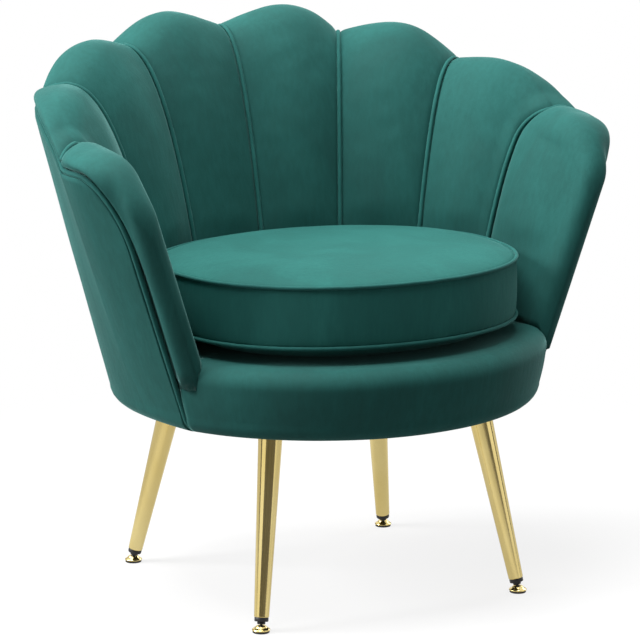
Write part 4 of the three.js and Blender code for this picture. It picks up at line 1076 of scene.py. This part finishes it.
# The filling as cloth under pressure: lengths in metres, shares of the swelling that are kept
CASE_VOXEL = 0.006
HELD_NEAR, HELD_FAR = 0.004, 0.016
FILLING_FRAMES = 20
FILLING = {"quality": 6, "mass": 0.35, "tension_stiffness": 22, "compression_stiffness": 14, "shear_stiffness": 8,
           "bending_stiffness": 1.2, "use_pressure": True, "uniform_pressure_force": 4.0,
           "vertex_group_mass": "held", "pin_stiffness": 4.0}
SWELL_LIMIT = 0.024
SWELL_ACROSS = 0.5
SWELL_BORDER = 0.16
SWELL_UNDERSIDE = 0.25
SWELL_TOP = 0.42
SWELL_LOWER = 0.3


def apply_modifier(obj, name, kind, **settings):
    modifier = obj.modifiers.new(name, kind)
    set_all(modifier, settings)
    bpy.context.view_layer.objects.active = obj
    bpy.ops.object.modifier_apply(modifier=modifier.name)


def simulate_filling(obj, seams):
    """Blows the case up a little as cloth, held along its two seams. Gives each point's place and swelling."""
    apply_modifier(obj, "remesh", "REMESH", mode="VOXEL", voxel_size=CASE_VOXEL)
    start = np.array([v.co[:] for v in obj.data.vertices])
    seam_points = np.vstack(seams) * MM + PLAN_SHIFT
    held = obj.vertex_groups.new(name="held")
    for i, place in enumerate(start):
        near = float(np.sqrt(((seam_points - place) ** 2).sum(axis=1).min()))
        weight = 1 - smooth(HELD_NEAR, HELD_FAR, near)
        if weight > 0.01:
            held.add([i], weight, "REPLACE")
    cloth = obj.modifiers.new("cloth", "CLOTH")
    set_all(cloth.settings, FILLING)
    cloth.settings.effector_weights.gravity = 0.0
    cloth.point_cache.frame_start = 1
    cloth.point_cache.frame_end = FILLING_FRAMES
    for step in range(1, FILLING_FRAMES + 1):
        SCENE.frame_set(step)
    graph = bpy.context.evaluated_depsgraph_get()
    swollen = obj.evaluated_get(graph).to_mesh()
    swell = np.array([v.co[:] for v in swollen.vertices]) - start
    obj.evaluated_get(graph).to_mesh_clear()
    obj.modifiers.remove(cloth)
    SCENE.frame_set(1)
    length = norm(swell, axis=1, keepdims=True)
    return start, swell * np.minimum(1, SWELL_LIMIT / np.maximum(length, 1e-9))


def fill_case(obj, seams):
    """Keeps shares of the swelling: the border swells only a little and the underside stays on the deck."""
    places, swell = simulate_filling(obj, seams)
    heights = places[:, 2] / MM
    border = np.clip((heights - CUSHION_LOW_SEAM_Z) / 6, 0, 1) * np.clip((CUSHION_HIGH_SEAM_Z + 2 - heights) / 6, 0, 1)
    across = mix(SWELL_ACROSS, SWELL_BORDER, border) * np.where(heights < CUSHION_LOW_SEAM_Z, SWELL_UNDERSIDE, 1.0)
    swell[:, :2] *= across[:, None]
    swell[:, 2] *= np.where(heights > CUSHION_HIGH_SEAM_Z, SWELL_TOP, SWELL_LOWER)
    places = places + swell
    places[:, 2] = np.maximum(places[:, 2], CASE_BOTTOM_Z * MM)
    obj.data.vertices.foreach_set("co", places.ravel())
    obj.data.update()
    apply_modifier(obj, "subdivide", "SUBSURF", levels=1, render_levels=1)
    obj.data.polygons.foreach_set("use_smooth", [True] * len(obj.data.polygons))


seams = [cushion_ring(height, CASE_INSET) for height in (CUSHION_HIGH_SEAM_Z, CUSHION_LOW_SEAM_Z)]
cushion = cushion_case(*seams)
fill_case(cushion, seams)
finish_piece(cushion, PAINTED_LIGHTER_CUSHION_VELVET, "cushion", "seat_cushion")

for node, height in (("cushion_piping_top", CUSHION_HIGH_SEAM_Z), ("cushion_piping_bottom", CUSHION_LOW_SEAM_Z)):
    piece = tube("sewn_" + node, cushion_ring(height, 0.0, 420), CUSHION_PIPING_RADIUS * 0.86, closed=True)
    finish_piece(piece, PAINTED_HIGHLIGHT_PIPING_VELVET, "cushion", node)


# Legs and glides, in the plan's frame: the foot on the floor and the axis's lean per millimetre

LEGS = (("front_left", 197.0, -173.0, 0.156, -0.185, -1), ("front_right", 197.0, -173.0, 0.156, -0.185, 1),
        ("rear_left", 202.0, 213.0, 0.173, 0.201, -1), ("rear_right", 202.0, 213.0, 0.173, 0.201, 1))
LEG_TOP_Z = 265.2 - 0.3
LEG_TIP = 20.0
TIP_RADIUS, TOP_RADIUS = 9.9, 16.8
COLLAR_FOOT = LEG_TIP - 0.3 - 5.4
BALL_Z = 7.0
BALL_RADIUS = 3.2
NECK_TOP = COLLAR_FOOT - 0.3
NECK = NECK_TOP - 3.2
BOLT_FOOT, BOLT_TOP = -0.2, 31.0
UPRIGHT = point(0, 0, 1)
COLLAR_PROFILE = [
    (4.3, COLLAR_FOOT), (8.4, COLLAR_FOOT), (9.0, COLLAR_FOOT + 0.25), (9.3, COLLAR_FOOT + 0.9), (9.3, LEG_TIP - 0.8),
    (9.05, LEG_TIP - 0.3), (7.6, LEG_TIP - 0.3), (7.6, LEG_TIP + 25.7), (4.3, LEG_TIP + 25.7), (4.3, COLLAR_FOOT + 12)]
DISC_PROFILE = [
    (11.6, 2.9), (11.95, 3.1), (12.0, 3.5), (11.9, 4.0), (11.2, 4.8), (10.0, 5.55), (8.7, 6.2), (7.8, 6.9),
    (7.3, 7.6), (7.0, 8.2), (6.6, 8.55), (6.1, 8.6), (4.4, 8.6), (4.2, 8.3), (4.2, 3.5)]
PAD_PROFILE = [(10.9, 0.0), (11.2, 0.3), (11.2, 2.4), (11.0, 2.6)]


def axis_at(leg, z):
    _, x, y, inward, forward, side = leg
    return point(side * (x - inward * z), y - forward * z, z)


def turned(name, start, up, profile, sides, cut_z=inf, sharp_degrees=34):
    """A lathed piece from (radius, height) points along a line, cut off level at a height."""
    across = unit(np.cross(up, (0, 1, 0)))
    deep = np.cross(up, across)
    rings = []
    for radius, height in profile:
        ring = []
        for angle in circle(sides):
            place = start + up * height + radius * (cos(angle) * across + sin(angle) * deep)
            ring.append(place - up * (max(0.0, place[2] - cut_z) / up[2]))
        rings.append(ring)
    end = min(profile[-1][1], (cut_z - start[2]) / up[2])
    obj = closed_solid(name, rings, (start + up * profile[0][1], start + up * end))
    obj.data.set_sharp_from_angle(angle=radians(sharp_degrees))
    return obj


def leg_profile(length):
    profile = [(7.9, LEG_TIP + 26), (7.9, LEG_TIP + 0.2), (8.4, LEG_TIP), (9.4, LEG_TIP), (TIP_RADIUS, LEG_TIP + 0.6)]
    for i in range(1, 31):
        profile.append((mix(TIP_RADIUS, TOP_RADIUS, i / 30), mix(LEG_TIP + 0.6, length + 14, i / 30)))
    return profile


def stem_profile():
    """The ball in the disc, the neck, the collar's stop and the threaded rod."""
    profile = [(0.6, 3.9)]
    for i in range(1, 10):
        angle = i / 10 * pi
        profile.append((BALL_RADIUS * sin(angle), BALL_Z - BALL_RADIUS * cos(angle)))
    profile += [(1.6, 10.0), (1.6, NECK), (4.9, NECK), (5.4, NECK + 0.5), (5.4, NECK_TOP - 0.5), (4.9, NECK_TOP),
                (4.0, NECK_TOP)]
    for i in range(9):
        height = NECK_TOP + 1 + i * 2.3
        profile += [(3.9, height), (4.0, height + 0.6), (4.0, height + 1.1), (3.6, height + 1.7)]
    return profile


def bolt_profile():
    """The upright threaded bolt that holds the leg in its corner block."""
    profile = [(0.5, BOLT_FOOT), (3.9, BOLT_FOOT)]
    for i in range(20):
        height = i * 1.5
        profile += [(3.6, height), (4.0, height + 0.5), (4.0, height + 0.9), (3.6, height + 1.4)]
    return profile + [(3.4, BOLT_TOP - 0.6), (2.8, BOLT_TOP)]


for leg in LEGS:
    key = leg[0]
    start, top, under = axis_at(leg, 0), axis_at(leg, LEG_TOP_Z), axis_at(leg, BALL_Z) * (1, 1, 0)
    up = unit(axis_at(leg, 1) - start)
    stem, foot = "stem_" + key, "foot_" + key
    for name, node, body, looks, slot, *shape in (
            ("gold_leg_", "leg_", "frame", GOLD, "gold", start, up, leg_profile(LEG_TOP_Z / up[2]), 64, LEG_TOP_Z),
            ("leg_bolt_", "leg_", "frame", STEEL, "gold", top, UPRIGHT, bolt_profile(), 28),
            ("collar_ring_", "collar_", "frame", PLASTIC, "black_plastic", start, up, COLLAR_PROFILE, 48),
            ("threaded_stem_", "glide_stem_", stem, PLASTIC, "black_plastic", start, up, stem_profile(), 40),
            ("levelling_disc_", "glide_disc_", foot, GOLD, "gold", under, UPRIGHT, DISC_PROFILE, 56, inf, 40),
            ("disc_pad_", "glide_pad_", foot, PLASTIC, "black_plastic", under, UPRIGHT, PAD_PROFILE, 56)):
        finish_piece(turned(name + key, *shape), looks, body, node + key)


# Dust cover under the seat: thin cloth, stapled round its edge, sagging a little

LINING_Z = 265.3
LINING_THICKNESS = 1.0
LINING_SAG = 2.6
LINING_RADIUS = BAND_INNER_RADIUS - 1.6
LINING_RINGS, LINING_SIDES = 18, 96


def lining_ring(i, offset):
    share = i / LINING_RINGS
    ring = []
    for angle in circle(LINING_SIDES):
        rise = 0.25 * smooth(0.8, 1, share) * sin(24 * angle) - LINING_SAG * (1 - share ** 2)
        ring.append(base_point(LINING_RADIUS * share, angle, LINING_Z + offset + rise))
    return ring


lining_rings = [lining_ring(i, 0.0) for i in range(1, LINING_RINGS + 1)]
lining_rings += [lining_ring(i, LINING_THICKNESS) for i in range(LINING_RINGS, 0, -1)]
lining = closed_solid("lining_sheet", lining_rings,
                      [base_point(0, 0, LINING_Z + offset - LINING_SAG) for offset in (0.0, LINING_THICKNESS)])
finish_piece(lining, LINING, "frame", "dust_cover")

# Hidden frame parts keep their CAD shape and get their materials.
for name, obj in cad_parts.items():
    wooden = name.startswith(("seat_rail", "corner_block", "back_rib", "back_top_rail"))
    if wooden or name.startswith("seat_spring"):
        obj.data.materials.clear()
        obj.data.materials.append(WOOD if wooden else STEEL)


# Floor, light and camera

FLOOR_BOUNCE = 0.20
FLOOR_REFLECTED = 0.66
FLOOR_SHADED = 0.80
FLOOR_NEAR, FLOOR_FAR = 0.35, 1.15
AMBIENT = 0.21


def floor_surface(tree):
    """Pale floor: shaded close to the chair and plain white further out. It returns less light to the chair
    than it shows."""
    place = add_node(tree, "TexCoord", "Object", {})
    tone = add_node(tree, "TexNoise", "Fac", {"Vector": place, "Scale": 3.0, "Detail": 2.0})
    color = ramp(tree, tone, (0.3, (0.955, 0.955, 0.955)), (0.7, (0.965, 0.965, 0.965)))
    seen = ray(tree, "Camera", "Glossy")
    away = add_node(tree, "VectorMath", "Value", {0: place}, operation="LENGTH")
    white_share = add_node(tree, "MapRange", "Result", {
        "Value": away, "From Min": FLOOR_NEAR, "From Max": FLOOR_FAR, "To Min": FLOOR_SHADED, "To Max": 1.0},
        interpolation_type="SMOOTHSTEP")
    strength = calc(tree, "MULTIPLY_ADD", ray(tree, "Camera"), 1.0 - FLOOR_REFLECTED, FLOOR_REFLECTED)
    white = add_node(tree, "Emission", "Emission", {"Color": (1, 1, 1, 1), "Strength": strength})
    mixed = add_node(tree, "MixShader", "Shader", {
        0: calc(tree, "MULTIPLY", seen, white_share), 1: tree.nodes["Principled BSDF"].outputs["BSDF"], 2: white})
    plug(tree, tree.nodes["Material Output"].inputs["Surface"], mixed)
    bounce = (FLOOR_BOUNCE, FLOOR_BOUNCE, FLOOR_BOUNCE, 1)
    return {"Base Color": add_node(tree, "Mix", 2, {0: seen, 6: bounce, 7: color}, data_type="RGBA"),
            "Roughness": 0.9, "Specular IOR Level": 0.1}


def screen_surface(tree):
    tone = texture(tree, "Noise", 1.5, Detail=2.0)
    return {"Base Color": ramp(tree, tone, (0.3, (0.10, 0.095, 0.09)), (0.7, (0.16, 0.155, 0.15))),
            "Roughness": 1.0}


def stage_plane(name, size, surface):
    bpy.ops.mesh.primitive_plane_add(size=1)
    plane = bpy.context.object
    plane.name = name
    plane.data.transform(Matrix.Diagonal((*size, 1, 1)))
    plane.data.materials.append(surface)
    return plane


stage_plane("pale_floor", (60, 60), material("pale_floor", floor_surface))

# Dark screens round the set, out of view, give the polished metal its dark streaks: azimuth and distance,
# width and height.
SCREENS = {"front_1": (-50.0, 3.0, 1.6, 2.2), "front_2": (-21.0, 3.0, 1.6, 2.2), "front_3": (8.0, 3.0, 1.6, 2.2),
           "left": (-112.0, 6.0, 1.4, 3.4), "right": (66.0, 6.0, 1.4, 3.4),
           "back_left": (-170.0, 6.0, 1.5, 3.4), "back_right": (124.0, 6.0, 1.5, 3.4)}
DARK = material("dark_wall", screen_surface)
for name, (azimuth, distance, width, height) in SCREENS.items():
    screen = stage_plane("screen_" + name, (width, height), DARK)
    direction = radians(azimuth)
    screen.rotation_euler = (QUARTER_TURN, 0, direction)
    screen.location = (sin(direction) * distance, -cos(direction) * distance, height / 2)
    screen.visible_camera = screen.visible_diffuse = screen.visible_shadow = False


def area_light(name, place, target_z, size, power):
    data = bpy.data.lights.new(name, "AREA")
    set_all(data, {"shape": "SQUARE", "size": size, "energy": power})
    lamp = bpy.data.objects.new(name, data)
    lamp.location = place
    lamp.rotation_euler = (Vector((0, 0, target_z)) - Vector(place)).to_track_quat("-Z", "Y").to_euler()
    SCENE.collection.objects.link(lamp)


area_light("left", (-3.5, 1.2, 2.3), 0.5, 1.9, 196)
area_light("right", (3.4, 0.9, 1.9), 0.45, 1.9, 38)
area_light("top", (-0.45, 0.02, 3.1), 0.5, 2.0, 124)

# The world is white where it is seen, and lights the chair less.
world = bpy.data.worlds.new("studio")
SCENE.world = world
world.use_nodes = True
background = world.node_tree.nodes["Background"]
background.inputs["Color"].default_value = (1, 1, 1, 1)
seen = ray(world.node_tree, "Camera", "Glossy", "Transmission")
plug(world.node_tree, background.inputs["Strength"], spread(world.node_tree, seen, AMBIENT, 1.0))

# The camera that was fitted to the photo
TARGET = Vector((0, -0.023, 0.312))
AZIMUTH = radians(-28.22)
ELEVATION = radians(12.27)
DISTANCE = 4.398
back = Vector((sin(AZIMUTH) * cos(ELEVATION), -cos(AZIMUTH) * cos(ELEVATION), sin(ELEVATION)))
lens = bpy.data.cameras.new("camera")
lens.sensor_width = 36
lens.lens = 181.7
lens.shift_x = -0.00625
lens.shift_y = 0.0553
camera = bpy.data.objects.new("camera", lens)
camera.location = TARGET + back * DISTANCE
camera.rotation_euler = (-back).to_track_quat("-Z", "Y").to_euler()
SCENE.collection.objects.link(camera)
SCENE.camera = camera
SCENE.view_settings.view_transform = "Standard"
